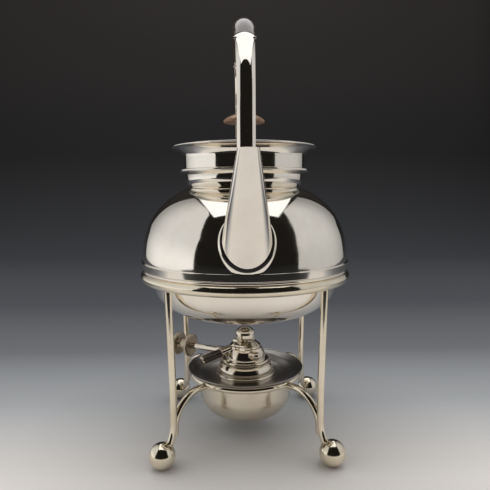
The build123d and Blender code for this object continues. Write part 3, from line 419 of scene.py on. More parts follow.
body = {
    "seatZ": 132.3, "jointZ": 134.3, "beltTopZ": 140.0, "bodyRadius": 79.2, "bandRadius": 80.3,
    "beadBulge": 0.8, "beltLap": 0.2, "wall": 1.2,
    "bowlRadius": 72.6, "bowlDepth": 40.3, "bowlSquareness": 2.9,
    "domeBaseZ": 139.0, "domeRise": 63.0, "domeSquareness": 2.4, "mouthRadius": 42.0,
}


def domeShare(part):
    # the dome's curve as a share of its radius or rise: (1 - part^n)^(1/n)
    power = body["domeSquareness"]
    return (1 - np.clip(part, 0, 1) ** power) ** (1 / power)


def bodyRadiusAt(z):
    # outer radius of the dome at a height, straight below its spring line
    return body["bodyRadius"] * domeShare((np.asarray(z, float) - body["domeBaseZ"]) / body["domeRise"])


def bodyHeightAt(radius):
    # height of the dome over one radius
    return body["domeBaseZ"] + body["domeRise"] * domeShare(np.asarray(radius, float) / body["bodyRadius"])


rootZ = float(bodyHeightAt(body["mouthRadius"]))
neck = {
    "collarRadius": 45.3, "collarHeight": 11.0, "collarThick": 1.0, "collarLap": 1.2, "flangeRadius": 50.3,
    "flangeThick": 2.4, "radius": 46.7, "straight": 8.3, "flare": 7.7, "rimRadius": 55.8, "wall": 1.2,
}
flangeZ = rootZ + neck["collarHeight"]
neckZ = flangeZ + neck["flangeThick"]
flareZ = neckZ + neck["straight"]
rimTopZ = flareZ + neck["flare"] + neck["wall"]


def makeKettleBody():
    wall, radius, jointZ = body["wall"], body["bodyRadius"], body["jointZ"]
    rise, squareness, baseZ = body["domeRise"], body["domeSquareness"], body["domeBaseZ"]
    outer = squaredRun(radius, rise, squareness, baseZ, body["mouthRadius"], 110)
    inner = squaredRun(radius - wall, rise - wall, squareness, baseZ, body["mouthRadius"] - 0.01, 70)
    dome = np.vstack([[(radius, jointZ)], outer, inner[::-1], [(radius - wall, jointZ)]])
    turnedPiece("kettleDome", dome, "kettle", ["kettle_dome"], turns=256)
    wide, depth, squareness = body["bowlRadius"], body["bowlDepth"], body["bowlSquareness"]
    bowlOuter = squaredRun(wide, -depth, squareness, jointZ, samples=100)
    bowlInner = squaredRun(wide - wall, wall - depth, squareness, jointZ, samples=60)
    turnedPiece("kettleBowl", np.vstack([bowlOuter, bowlInner[::-1]]), "kettle", ["kettle_bowl"], turns=224)
    # belt: a bulged bead that rests on the stand, then a plain band up the dome's foot
    seatZ, topZ, band, lap = body["seatZ"], body["beltTopZ"], body["bandRadius"], radius - body["beltLap"]
    bead = threePointRun((lap, seatZ), (radius + body["beadBulge"], (seatZ + jointZ) / 2), (lap, jointZ), 12)
    bandLine = roundedOutline([(lap, jointZ, 0), (band, jointZ + 0.5, 0.35), (band, topZ, 0.45),
                               (radius - 0.1, topZ, 0.1)])
    belt = np.vstack([[(wide, seatZ)], bead, bandLine[1:], [(radius - 0.1, jointZ), (wide, jointZ)]])
    turnedPiece("kettleBelt", belt, "kettle", ["kettle_belt"], turns=256)


def makeNeck():
    thin, root = neck["collarThick"], body["mouthRadius"]
    top, middleZ, lapZ = neck["collarRadius"] - 0.7, rootZ + neck["collarHeight"] / 2, rootZ - neck["collarLap"]

    def collarSide(inset):
        return threePointRun((root - inset, rootZ - 0.1), (neck["collarRadius"] - inset, middleZ),
                             (top - inset, flangeZ), 26)

    collar = np.vstack([[(root, lapZ)], collarSide(0.0), collarSide(thin)[::-1], [(root - thin, lapZ)]])
    turnedPiece("neckCollar", collar, "kettle", ["neck_collar"], turns=224)
    edge, rounding = neck["flangeRadius"], neck["flangeThick"] * 0.49
    flange = roundedOutline([(top - thin, flangeZ, 0), (edge, flangeZ, rounding), (edge, neckZ, rounding),
                             (top - thin, neckZ, 0)], samples=10)
    turnedPiece("neckFlange", flange, "kettle", ["neck_flange"], turns=224)
    radius, wall, level = neck["radius"], neck["wall"], neck["radius"] + neck["flare"]
    under = arcRun((level, flareZ), neck["flare"], 180, 90, 26)
    over = arcRun((level, flareZ), neck["flare"] + wall, 90, 180, 26)
    lip = arcRun((neck["rimRadius"] - wall / 2, rimTopZ - wall / 2), wall / 2, -90, 90, 9)
    rim = np.vstack([[(radius, neckZ), (radius, flareZ - 0.3)], under, lip, over,
                     [(radius - wall, flareZ - 0.3), (radius - wall, neckZ)]])
    turnedPiece("flaredRim", rim, "kettle", ["flared_rim"], turns=224)


def makeSpout():
    # a tapered tube between two ovals: point = foot + (tip - foot) * v, with v found where it meets the body
    spout = {"baseWidth": 35.3, "baseHeight": 40.4, "baseZ": 154.9, "lean": 15.5, "sink": 2.2, "root": 6.0,
             "tipReach": 110.0, "tipZ": 216.3, "tipWidth": 12.8, "wall": 1.0, "ringWidth": 2.4,
             "ringThick": 1.1, "buried": 0.5, "end": 0.997}
    lean = math.radians(spout["lean"])
    footY = spout["sink"] - float(bodyRadiusAt(spout["baseZ"]))
    inward = np.array([0, math.cos(lean), -math.sin(lean)])
    foot = np.array([0, footY, spout["baseZ"]]) + inward * spout["root"]
    upward = np.array([0, math.sin(lean), math.cos(lean)])
    tip = np.array([0, -spout["tipReach"], spout["tipZ"]])
    angle = ringAngles(128)[:, None]

    def skin(grow):
        low = foot + np.cos(angle) * (spout["baseWidth"] / 2 + grow) * np.array([1, 0, 0]) \
            + np.sin(angle) * (spout["baseHeight"] / 2 + grow) * upward
        size = spout["tipWidth"] / 2 + grow
        high = tip + np.cos(angle) * size * np.array([1, 0, 0]) + np.sin(angle) * size * np.array([0, 1, 0])
        return low, high

    def meet(low, high, extra):
        # halving search along each line for the place where it leaves the body grown by the extra
        inside, outside = np.zeros(len(low)), np.full(len(low), 0.9)
        for _ in range(30):
            middle = (inside + outside) / 2
            point = low + (high - low) * middle[:, None]
            deep = np.hypot(point[:, 0], point[:, 1]) < bodyRadiusAt(point[:, 2]) + extra
            inside, outside = np.where(deep, middle, inside), np.where(deep, outside, middle)
        return middle

    def outlineOn(grow, extra):
        low, high = skin(grow)
        return low + (high - low) * meet(low, high, extra)[:, None]

    def wallRows(low, high, steps):
        start = meet(low, high, -0.4)
        return [low + (high - low) * (start + (spout["end"] - start) * step)[:, None] for step in steps]

    outside, inside = skin(0.0), skin(-spout["wall"])
    steps = np.concatenate([np.linspace(0, 0.965, 44), [0.985, 0.995]])
    edge = 0.5 * (outside[1] + inside[1])
    lip = [edge + (outside[1] - edge) * part + np.array([0, 0, rise])
           for part, rise in ((0.9, -0.05), (0.55, 0.0), (-0.55, 0.0), (-0.9, -0.05))]
    rows = wallRows(*outside, steps) + lip + wallRows(*inside, steps[::-1])
    points = np.stack(rows + rows[:1])
    addPiece("spout", points, gridFaces(len(points), 128), "kettle", ["spout"])
    # raised edge round the foot: the body's skin lifted by a half-round between two of the spout's outlines
    width, thick, buried = spout["ringWidth"], spout["ringThick"], -spout["buried"]
    rows = [outlineOn(width * part, thick * (1 - part ** 3) ** 0.5) for part in np.linspace(0, 1, 12)]
    rows += [outlineOn(width, buried), outlineOn(0.0, buried), rows[0]]
    points = np.stack(rows)
    points[..., 2] = np.maximum(points[..., 2], body["beltTopZ"] - 0.4)
    addPiece("spoutFootRing", points, gridFaces(len(points), 128), "kettle", ["spout_base_ring"])


handle = {
    "radius": 64.0, "centerZ": 245.3, "sink": 2.0, "thick": 5.0, "crown": 2.6, "footWidth": 12.2,
    "topWidth": 14.2, "halfAngle": 32.0, "gripWidth": 17.8, "gripEndWidth": 14.6, "gripHeight": 18.5,
    "gripEndHeight": 6.4, "lift": 2.0, "endDrop": 0.7, "swellPower": 1.15, "padWidth": 20.0, "padDepth": 11.0,
    "padThick": 1.4, "padInset": 0.3, "padFlat": 0.86, "padBuried": 0.6,
}


def strapSection():
    # flat inside, straight edges, low round crown outside, as shares of the strap's half sizes
    half, rise = handle["footWidth"] / 2, handle["thick"] / 2
    edge = rise - handle["crown"]
    crown = [(*point, 0) for point in threePointRun((half, edge), (0, rise), (-half, edge), 40)[1:-1]]
    return roundedOutline([(-half, -rise, 0.4), (half, -rise, 0.4), (half, edge, 0.3), *crown,
                           (-half, edge, 0.3)], 5) / (half, rise)


def makeStrap(word, side):
    # straight up from the dome, then over in an arc, widening to the grip
    radius, centerZ, low, high = handle["radius"], handle["centerZ"], 35, 40
    footZ = float(bodyHeightAt(radius)) - handle["sink"]
    turn = np.linspace(0, math.radians(90 - handle["halfAngle"]), high)
    across = np.concatenate([np.full(low, radius), radius * np.cos(turn)])
    height = np.concatenate([np.linspace(footZ, centerZ, low + 1)[:-1], centerZ + radius * np.sin(turn)])
    share = np.concatenate([np.zeros(low), np.linspace(0, 1, high) ** 2])
    halfWidth = (handle["footWidth"] + (handle["topWidth"] - handle["footWidth"]) * share) / 2
    path = np.stack([np.zeros(len(across)), side * across, height], axis=-1)
    sweptPiece(word + "Strap", path, (side, 0, 0), halfWidth, handle["thick"] / 2, "kettle",
               ["handle_" + word + "_leg"], section=strapSection(), endRound=0.3)


def makeStrapFoot(word, side):
    # oval pad: the dome's own surface lifted, with a rounded edge, over an oval of the plan
    flat, buried, turns, near = handle["padFlat"], -handle["padBuried"], 72, 0.05
    spread = np.concatenate([np.linspace(0, flat, 10),
                             flat + (1 - flat) * np.sin(np.linspace(0, math.pi / 2, 9)[1:])])
    edge = np.clip((spread - flat) / (1 - flat), 0, 1)
    lift = np.concatenate([handle["padThick"] * np.sqrt(1 - edge ** 2), [buried, buried]])
    spread = np.concatenate([spread, [1.0, 0.0]])[:, None]
    around = ringAngles(turns)
    x = handle["padWidth"] / 2 * spread * np.cos(around)
    y = side * (handle["radius"] - handle["padInset"]) + handle["padDepth"] / 2 * spread * np.sin(around)
    radius = np.hypot(x, y)
    slope = (bodyHeightAt(radius + near) - bodyHeightAt(radius - near)) / (2 * near)
    normal = np.stack([-slope * x / radius, -slope * y / radius, np.ones_like(x)], axis=-1)
    normal /= np.linalg.norm(normal, axis=-1)[..., None]
    points = np.stack([x, y, bodyHeightAt(radius)], axis=-1) + normal * lift[:, None, None]
    addPiece(word + "StrapFoot", points, gridFaces(len(points), turns), "kettle", ["handle_" + word + "_foot"])


def makeGrip():
    # bent grip: an oval section that swells to the middle by a power of a cosine, on the straps' arc
    samples, joint = 120, math.radians(90 - handle["halfAngle"])
    turn = np.linspace(joint, math.pi - joint, samples)
    share = (math.pi / 2 - turn) / (math.pi / 2 - joint)
    swell = np.clip(np.cos(share * math.pi / 2), 0, 1) ** handle["swellPower"]
    reach = handle["radius"] + (handle["lift"] + handle["endDrop"]) * swell - handle["endDrop"]
    path = np.stack([np.zeros(samples), -reach * np.cos(turn), handle["centerZ"] + reach * np.sin(turn)],
                    axis=-1)
    halfAcross = (handle["gripEndWidth"] + (handle["gripWidth"] - handle["gripEndWidth"]) * swell) / 2
    halfOut = (handle["gripEndHeight"] + (handle["gripHeight"] - handle["gripEndHeight"]) * swell) / 2
    sweptPiece("bentGrip", path, (1, 0, 0), halfAcross, halfOut, "kettle", ["handle_grip"], "gripWood",
               turns=72, endRound=0.5)


makeKettleBody()
makeNeck()
makeSpout()
for word, side in (("front", -1), ("rear", 1)):
    makeStrap(word, side)
    makeStrapFoot(word, side)
makeGrip()
print("kettle made")

# ---- lid

lid = {
    "brimRadius": 45.1, "domeRadius": 40.1, "rise": 16.1, "thick": 1.2, "drop": 10.2,
    "stemHeight": 11.4, "stemFoot": 7.45, "stemWaist": 3.2, "stemSeat": 5.5, "stemBore": 1.5,
    "finialRadius": 16.0, "finialThick": 7.5, "finialRound": 0.8, "finialShoulder": 2.1,
}


def capRun(radius, rise, topZ, samples):
    # arc of a shallow round cap, from its middle out to the radius where it is lower by the rise
    ball = (radius ** 2 + rise ** 2) / (2 * rise)
    return arcRun((0, topZ - ball), ball, 90, 90 - math.degrees(math.asin(radius / ball)), samples)


def makeLid():
    edgeZ = rimTopZ - lid["drop"]
    topZ = edgeZ + lid["thick"]
    crownZ = topZ + lid["rise"]
    underRadius = lid["domeRadius"] - 0.6
    dome = capRun(lid["domeRadius"], lid["rise"], crownZ, 60)
    under = capRun(underRadius, lid["rise"], crownZ - lid["thick"], 40)[::-1]
    brim = roundedOutline([(lid["domeRadius"], topZ, 0), (lid["brimRadius"], topZ, 0.45),
                           (lid["brimRadius"], edgeZ, 0.3), (underRadius, edgeZ, 0)])
    turnedPiece("lidCover", np.vstack([dome[:-1], brim, under[1:]]), "lid", ["lid_cover"], turns=200,
                sharpAngle=50)
    # stem: flares into the crown, necks in, and ends in a small seat under the wood
    seatZ, waist, seat, bore = crownZ + lid["stemHeight"], lid["stemWaist"], lid["stemSeat"], lid["stemBore"]
    flare = threePointRun((lid["stemFoot"], crownZ - 1.0), (4.35, crownZ + 2.3), (waist, crownZ + 8.2), 22)
    cup = roundedOutline([(waist, seatZ - 2.4, 0), (waist, seatZ - 1.4, 0.4), (seat, seatZ - 0.8, 0.2),
                          (seat, seatZ, 0.2), (bore, seatZ, 0)])
    turnedPiece("finialStem", np.vstack([[(bore, crownZ - 1.1)], flare, cup]), "lid", ["finial_stem"],
                turns=72)
    radius, rounding, thick = lid["finialRadius"], lid["finialRound"], lid["finialThick"]
    edge = threePointRun((radius - rounding, seatZ), (radius - 0.2, seatZ + 0.25), (radius, seatZ + 0.9), 9)
    top = capRun(radius - 0.5, thick - lid["finialShoulder"], seatZ + thick, 36)[::-1]
    disc = np.vstack([[(0, seatZ), (radius - rounding - 0.3, seatZ)], edge, [(radius - 0.1, seatZ + 1.5)], top])
    turnedPiece("finialDisc", disc, "lid", ["finial_disc"], "finialWood", turns=96)


makeLid()
print("lid made")

# ---- stand

stand = {
    "ringRadius": 77.3, "ringTube": 4.15, "ringFlat": 1.3, "rod": 2.6, "legTop": 76.4, "waist": 73.8,
    "waistZ": 50.0, "kickZ": 24.0, "topBend": 200, "footBend": 25, "footSpread": 84.4, "ballInset": 4.9,
    "ball": 9.4, "sink": 0.25, "lampRing": 42.6, "lampTube": 2.4, "lampFlat": 0.96, "lampSeatZ": 50.4,
    "bracketRod": 2.5, "bracketBend": 23.5, "bracketDrop": 0.6, "bracketSink": 1.8, "bracketLean": 0.8,
    "bracketEndZ": 20.0,
}


def makeRing(name, node, radius, tube, flat, seatZ, samples, turns):
    # round bar bent to a ring, its top cut flat at the seat; gives the height of the bar's middle
    centerZ = seatZ - math.sqrt(tube ** 2 - flat ** 2)
    cut = math.degrees(math.asin(flat / tube))
    turnedPiece(name, arcRun((radius, centerZ), tube, 90 - cut, -270 + cut, samples), "stand",
                [node], turns=turns, sharpAngle=15)
    return centerZ


def makeStand():
    makeRing("standRing", "stand_ring", stand["ringRadius"], stand["ringTube"], stand["ringFlat"],
             body["seatZ"], 44, 256)
    lampRingZ = makeRing("lampRing", "lamp_ring", stand["lampRing"], stand["lampTube"], stand["lampFlat"],
                         stand["lampSeatZ"], 32, 160)
    legLine = bentPath([
        (stand["legTop"], body["seatZ"] - stand["ringTube"]), (stand["waist"], stand["waistZ"]),
        (stand["waist"], stand["kickZ"]), (stand["footSpread"] - stand["ballInset"], stand["ball"])],
        [stand["topBend"], stand["footBend"]])
    levelZ, meet = lampRingZ - stand["bracketDrop"], stand["waist"] - stand["bracketSink"]
    bracketLine = bentPath([(stand["lampRing"], levelZ), (meet, levelZ),
                            (meet + stand["bracketLean"], stand["bracketEndZ"])], [stand["bracketBend"]])
    ballZ = stand["ball"] - stand["sink"]
    flat = math.degrees(math.acos(ballZ / stand["ball"]))
    ballLine = np.vstack([arcRun((0, ballZ), stand["ball"], 90, -90 + flat, 48), [(0, 0)]])
    for word, azimuth in (("front_left", 225), ("front_right", 315), ("rear_right", 45), ("rear_left", 135)):
        out = np.array([math.cos(math.radians(azimuth)), math.sin(math.radians(azimuth)), 0])
        across = np.array([-out[1], out[0], 0])
        for kind, line, rod in (("leg", legLine, stand["rod"]), ("bracket", bracketLine, stand["bracketRod"])):
            path = line[:, :1] * out + line[:, 1:] * np.array([0, 0, 1])
            sweptPiece(kind + "_" + word, path, across, rod, rod, "stand", [kind + "_" + word])
        turnedPiece("ball_" + word, ballLine, "stand", ["foot_ball_" + word],
                    origin=out * stand["footSpread"], turns=96)


makeStand()
print("stand made")

# ---- burner

burner = {
    "dishRimZ": 52.9, "dishFloorZ": 44.6, "dishFloor": 27.0, "dishEdge": 45.7, "dishLip": 0.35,
    "dishThick": 1.0, "dishHole": 18.0, "dishRestsFrom": 41.2,
    "bowlRadius": 36.2, "bowlTopZ": 46.6, "bowlBottomZ": 15.2, "bowlCorner": 17.5, "wall": 1.0,
    "drum": 22.3, "drumHeight": 11.5, "drumStraight": 5.4, "bead": 1.2, "beadRise": 2.7, "ledge": 19.2,
    "ledgeThick": 3.2, "ledgeRound": 1.5, "tier": 16.2, "tierHeight": 9.0, "tierTop": 12.9,
    "lip": 12.4, "lipEdge": 1.6, "lipRise": 4.9, "lipTop": 8.4,
    "tube": 5.5, "tubeWall": 0.65, "tubeTopZ": 75.4, "tubeLength": 34.0,
    "wick": 4.5, "wickBottomZ": 18.3, "wickTopZ": 76.3,
}
snuffer = {"bottomZ": 73.6, "springZ": 78.5, "radius": 8.0, "rise": 6.2, "wall": 0.8}


def quarterRun(start, end, samples=16):
    # quarter-like arc that leaves the start straight up and reaches the end
    drop, rise = start[0] - end[0], end[1] - start[1]
    radius = (drop ** 2 + rise ** 2) / (2 * drop)
    sweep = math.degrees(math.asin(min(1.0, rise / radius)))
    return arcRun((start[0] - radius, start[1]), radius, 0, 180 - sweep if rise > radius else sweep, samples)


def smoothRise(controls, samples=60):
    # monotone cubic through (distance, height) points, with the harmonic mean of the slopes on either side
    reach = np.linspace(controls[0, 0], controls[-1, 0], samples)
    step = np.diff(controls[:, 1]) / np.diff(controls[:, 0])
    product, total = step[:-1] * step[1:], step[:-1] + step[1:]
    slope = np.concatenate([[0], np.where(product > 0, 2 * product / (total + 1e-9), 0), [step[-1]]])
    spot = np.clip(np.searchsorted(controls[:, 0], reach, side="right") - 1, 0, len(step) - 1)
    width = np.diff(controls[:, 0])[spot]
    part = (reach - controls[spot, 0]) / width
    height = (controls[spot, 1] * (1 + 2 * part) * (1 - part) ** 2
              + slope[spot] * width * part * (1 - part) ** 2
              + controls[spot + 1, 1] * part ** 2 * (3 - 2 * part)
              + slope[spot + 1] * width * part ** 2 * (part - 1))
    return np.stack([reach, height], axis=-1)


def makeDishAndBowl():
    wall, floorZ, rimZ, seatZ = burner["wall"], burner["dishFloorZ"], burner["dishRimZ"], stand["lampSeatZ"]
    edge, lip = burner["dishEdge"], burner["dishLip"]
    top = smoothRise(np.array([
        (burner["dishHole"], floorZ), (burner["dishFloor"], floorZ), (33.5, floorZ + 1.5),
        (40.0, seatZ + 0.05), (44.4, rimZ - 0.75), (edge, rimZ)]))
    under = top[::-1] - np.array([0, burner["dishThick"]])
    resting = under[:, 0] > burner["dishRestsFrom"]
    under[:, 1] = np.where(resting, np.maximum(under[:, 1], seatZ), under[:, 1])
    dish = np.vstack([top, arcRun((edge, rimZ - lip), lip, 80, -60, 8), under])
    # the dish takes the darkened silver, whose tone holds painted shade
    turnedPiece("lampDish", dish, "burner", ["lamp_dish"], "dishSilverPaintedShade", turns=192)
    outer, corner, bottomZ, topZ = (burner["bowl" + word] for word in ("Radius", "Corner", "BottomZ", "TopZ"))
    middle = (outer - corner, bottomZ + corner)
    reservoir = np.vstack([
        [(outer, topZ), (outer, middle[1] + 0.5)], arcRun(middle, corner, 0, -90, 34),
        [(middle[0] - 1, bottomZ), (0, bottomZ), (0, bottomZ + wall), (middle[0] - 1, bottomZ + wall)],
        arcRun(middle, corner - wall, -90, 0, 26), [(outer - wall, topZ - 0.2)]])
    turnedPiece("reservoir", reservoir, "burner", ["reservoir"], "reservoirSilver", turns=192)


def makeBeehive():
    # drum, ledge, tier, lip and wick tube, each standing on the one before
    wall, drum, ledge, tier, tube = (burner[word] for word in ("wall", "drum", "ledge", "tier", "tube"))
    drumZ = burner["dishFloorZ"]
    shoulderZ, ledgeZ = drumZ + burner["drumStraight"], drumZ + burner["drumHeight"]
    tierZ = ledgeZ + burner["ledgeThick"]
    lipZ = tierZ + burner["tierHeight"]
    lipTopZ, tubeTopZ = lipZ + burner["lipRise"], burner["tubeTopZ"]
    tubeZ, bore, narrow = tubeTopZ - burner["tubeLength"], tube - burner["tubeWall"], burner["tierTop"]
    drumLine = np.vstack([
        [(drum, drumZ - 0.2)], arcRun((drum, drumZ + burner["beadRise"]), burner["bead"], -90, 90, 13),
        quarterRun((drum, shoulderZ), (ledge - 0.2, ledgeZ), 20),
        quarterRun((drum - wall, shoulderZ), (ledge - 0.2 - wall, ledgeZ), 14)[::-1],
        [(drum - wall, drumZ - 0.2)]])
    ledgeLine = roundedOutline([
        (tier - wall, ledgeZ, 0), (ledge, ledgeZ, burner["ledgeRound"]), (ledge, tierZ, burner["ledgeRound"]),
        (tier - wall, tierZ, 0)], 10)
    tierLine = np.vstack([quarterRun((tier, tierZ), (narrow, lipZ), 22),
                          quarterRun((tier - wall, tierZ), (narrow - wall, lipZ), 14)[::-1]])
    lipLine = roundedOutline([
        (tube, lipZ, 0), (burner["lip"], lipZ, 0.7), (burner["lip"], lipZ + burner["lipEdge"], 0.6),
        (burner["lipTop"], lipTopZ, 0.4), (tube, lipTopZ, 0)], 8)
    tubeLine = roundedOutline([
        (bore, tubeZ, 0), (tube, tubeZ, 0), (tube, tubeTopZ, 0.2), (bore, tubeTopZ, 0.2)])
    for name, line, node, turns in (
            ("burnerDrum", drumLine, "burner_drum", 160), ("burnerLedge", ledgeLine, "burner_ledge", 160),
            ("burnerTier", tierLine, "burner_tier", 160), ("burnerLip", lipLine, "burner_lip", 144),
            ("wickTube", tubeLine, "wick_tube", 96)):
        turnedPiece(name, line, "burner", [node], turns=turns)


def makeWickAndSnuffer():
    radius, lowZ, highZ = burner["wick"], burner["wickBottomZ"], burner["wickTopZ"]
    rope = roundedOutline([(0, lowZ, 0), (radius, lowZ, 0.3), (radius, highZ, 0.6), (0, highZ, 0)])
    turnedPiece("wickRope", rope, "wick", ["wick"], turns=64)
    # snuffer cap: straight skirt and an elliptical dome
    radius, rise, wall, springZ, bottomZ = (
        snuffer[word] for word in ("radius", "rise", "wall", "springZ", "bottomZ"))
    outer = squaredRun(radius, rise, 2, springZ, samples=40)
    inner = squaredRun(radius - wall, rise - wall, 2, springZ, samples=26)
    cap = np.vstack([[(radius - 0.1, bottomZ), (radius, bottomZ + 0.15)], outer, inner[::-1],
                     [(radius - wall, bottomZ)]])
    turnedPiece("snufferCap", cap, "snuffer", ["snuffer_cap"], turns=96)


winder = {
    "angle": 30.0, "offset": 8.8, "z": 64.5, "shaft": 2.4, "shaftTail": -14.2, "bore": 2.45, "start": 45.8,
    "disc": 9.6, "discThick": 3.0, "waist": 4.6, "waistLength": 9.0, "ridges": 44, "ridgeRise": 0.16,
    "ridgeDepth": 0.42, "bush": 3.6, "bushStart": 11.5, "bushEnd": 21.5, "cap": 3.4, "capStart": -9.5,
}


def winderSpot(along):
    # a point on the winder's axis: across the burner by the offset, then out to the rear left
    turn, offset = math.radians(winder["angle"]), winder["offset"]
    return np.array([-math.sin(turn) * offset - math.cos(turn) * along,
                     -math.cos(turn) * offset + math.sin(turn) * along, winder["z"]])


def makeWinder():
    place = {"origin": winderSpot(0), "along": winderSpot(1) - winderSpot(0)}
    thick, disc, waist, tail = winder["discThick"], winder["disc"], winder["waist"], winder["shaftTail"]
    first, second = winder["start"], winder["start"] + thick + winder["waistLength"]
    end = second + thick

    def milled(distance, _, angle):
        # round ridges across the two rims, where the outline stands furthest out:
        # depth * |cos(ridges * angle / 2)|, a little flattened
        rim = np.clip((distance - disc + 0.9) / 0.5, 0, 1)
        groove = 1 - np.abs(np.cos(winder["ridges"] * angle / 2)) ** 0.7
        return rim * (winder["ridgeRise"] - winder["ridgeDepth"] * groove)

    def discCorners(start):
        return [(disc - 1.5, start, 0.5), (disc - 0.3, start + 0.6, 0.3),
                (disc - 0.3, start + thick - 0.6, 0.3), (disc - 1.5, start + thick, 0.5)]

    shaft = roundedOutline([(0, tail, 0), (winder["shaft"], tail, 0.3), (winder["shaft"], end - 1, 0.3),
                            (0, end - 1, 0)])
    knob = roundedOutline([
        (winder["shaft"], first, 0), *discCorners(first), (waist, first + thick, 1.2), (waist, second, 1.2),
        *discCorners(second), (3.2, end, 0.3), (2.6, end - 0.5, 0.3), (0, end - 0.5, 0), (0, first, 0)], 5)
    bore, bush, low, high = winder["bore"], winder["bush"], winder["bushStart"], winder["bushEnd"]
    bushLine = roundedOutline([(bore, low, 0), (bush, low, 0), (bush, high - 1.7, 0.4),
                               (bush - 0.6, high - 1.4, 0.2), (bush - 0.6, high, 0.3), (bore, high, 0.1)])
    cap, start = winder["cap"], winder["capStart"]
    capLine = np.vstack([[(bore, start), (cap, start), (cap, tail)], arcRun((0, tail - 0.3), cap, 0, -90, 16),
                         [(0, tail - 0.4), (bore, tail - 0.4)]])
    turnedPiece("winderShaft", shaft, "winder", ["winder_shaft"], turns=48, **place)
    turnedPiece("winderKnob", knob, "winder", ["winder_knob"], "knobMetal", turns=308, knurl=milled,
                **place)
    turnedPiece("winderBush", bushLine, "burner", ["winder_bush"], turns=56, **place)
    turnedPiece("winderEndCap", capLine, "burner", ["winder_end_cap"], turns=56, **place)


def makeBurnerHandle():
    side = {"angle": 24.0, "startZ": 67.4, "startRadius": 15.0, "slope": 14.5, "ferrule": 3.4, "collar": 3.9,
            "grip": 3.3, "swell": 0.15, "ferruleEnd": 7.0, "gripLength": 15.0, "cap": 3.6, "capLength": 1.4}
    turn, slope = math.radians(side["angle"]), math.radians(side["slope"])
    out = np.array([-math.cos(turn), -math.sin(turn), 0])
    place = {"origin": out * side["startRadius"] + np.array([0, 0, side["startZ"]]),
             "along": out * math.cos(slope) - np.array([0, 0, math.sin(slope)])}
    end, last, cap = side["ferruleEnd"], side["ferruleEnd"] + side["gripLength"], side["cap"]
    capEnd = last + side["capLength"]
    ferrule = roundedOutline([
        (0, -1.6, 0), (side["ferrule"], -1.6, 0), (side["ferrule"], end - 1.4, 0.15),
        (side["collar"], end - 1.2, 0.25), (side["collar"], end, 0.4), (0, end, 0)])
    grip = roundedOutline([
        (0, end - 0.1, 0), (side["grip"], end - 0.1, 0.2), (side["grip"] + side["swell"], end + 7, 0),
        (side["grip"], last, 0.3), (0, last, 0)])
    capLine = roundedOutline([(0, last, 0), (cap, last, 0.25), (cap, capEnd, 0.6), (0, capEnd, 0)])
    for name, line, finish, node in (("sideHandleFerrule", ferrule, "burnerSilver", "handle_ferrule"),
                                     ("sideHandle", grip, "handleWood", "burner_handle"),
                                     ("sideHandleCap", capLine, "burnerSilver", "handle_end_cap")):
        turnedPiece(name, line, "burner", [node], finish, turns=64, **place)


makeDishAndBowl()
makeBeehive()
makeWickAndSnuffer()
makeWinder()
makeBurnerHandle()
print("burner made")

# ---- finishes of the frame's own parts that still show

steelNodes = ("handle_front_grip_pin", "handle_rear_grip_pin", "finial_screw", "lid_hinge_pin", "snuffer_pin")
for bodyName, members in frame["record"]["behaviour"]["bodies"].items():
    for nodeName in members:
        mesh = frame["nodes"][nodeName].data
        mesh.materials.clear()
        mesh.materials.append(finishes["pinSteel" if nodeName in steelNodes else usualFinish[bodyName]])
print("frame parts finished")

# ---- floor, light and camera

studio = {
    # paper tones by distance behind the front edge (metres, red, green, blue): painted shade in front of the
    # edge, pale behind it, then darker towards the back as a painted falloff of the light on plain pale paper;
    # and how much they show by themselves
    "paper": [(-0.38, 0.02, 0.02, 0.02), (-0.345, 0.64, 0.62, 0.60), (-0.08, 0.64, 0.61, 0.58),
              (0.05, 0.31, 0.32, 0.33), (0.20, 0.125, 0.13, 0.14), (0.45, 0.060, 0.064, 0.072),
              (1.10, 0.036, 0.038, 0.042), (1.70, 0.014, 0.0135, 0.014), (2.30, 0.024, 0.021, 0.019)],
    "paperGlow": 0.63, "shadowReach": 0.16, "shadowDepth": 1.5,
    "worldColor": (0.88, 0.80, 0.70, 1), "worldStrength": 0.012,
    # the overhead lamp's middle, size and glow, in metres
    "topSpot": (0.025, 0.42, 1.24), "topSize": (1.17, 1.56), "topGlow": 1.18,
    # height where the side softboxes have their whole glow, and how it fades from front to back
    "lowReach": (0.05, 0.55), "backFade": (0.1, 1.3, 1.0, 0.45),
}
softboxes = {
    # place across, glow, its share at the floor, and the outline as (y, z), in metres
    "leftSoftbox": (-1.0, 0.68, 1.35, [
        (-0.70, 0.0), (-0.76, 0.75), (-0.62, 1.2), (-0.30, 1.94), (-0.05, 2.08), (1.4, 1.9), (1.4, 0.4),
        (1.15, 0.3), (1.1, 0.0)]),
    "rightSoftbox": (1.0, 0.60, 0.85, [
        (-0.70, 0.0), (-0.66, 0.55), (-0.43, 1.25), (-0.11, 1.88), (0.0, 1.92), (1.4, 1.67), (1.4, 0.5),
        (1.05, 0.4), (0.95, 0.1), (1.0, 0.0)]),
}


def addStage(name, points, faces):
    # one mesh of the studio; gives the node tree of its own material
    mesh = bpy.data.meshes.new(name)
    mesh.from_pydata(points, [], faces)
    mesh.shade_smooth()
    thing = addObject(name, mesh)
    material, tree = newMaterial(name)
    mesh.materials.append(material)
    return tree


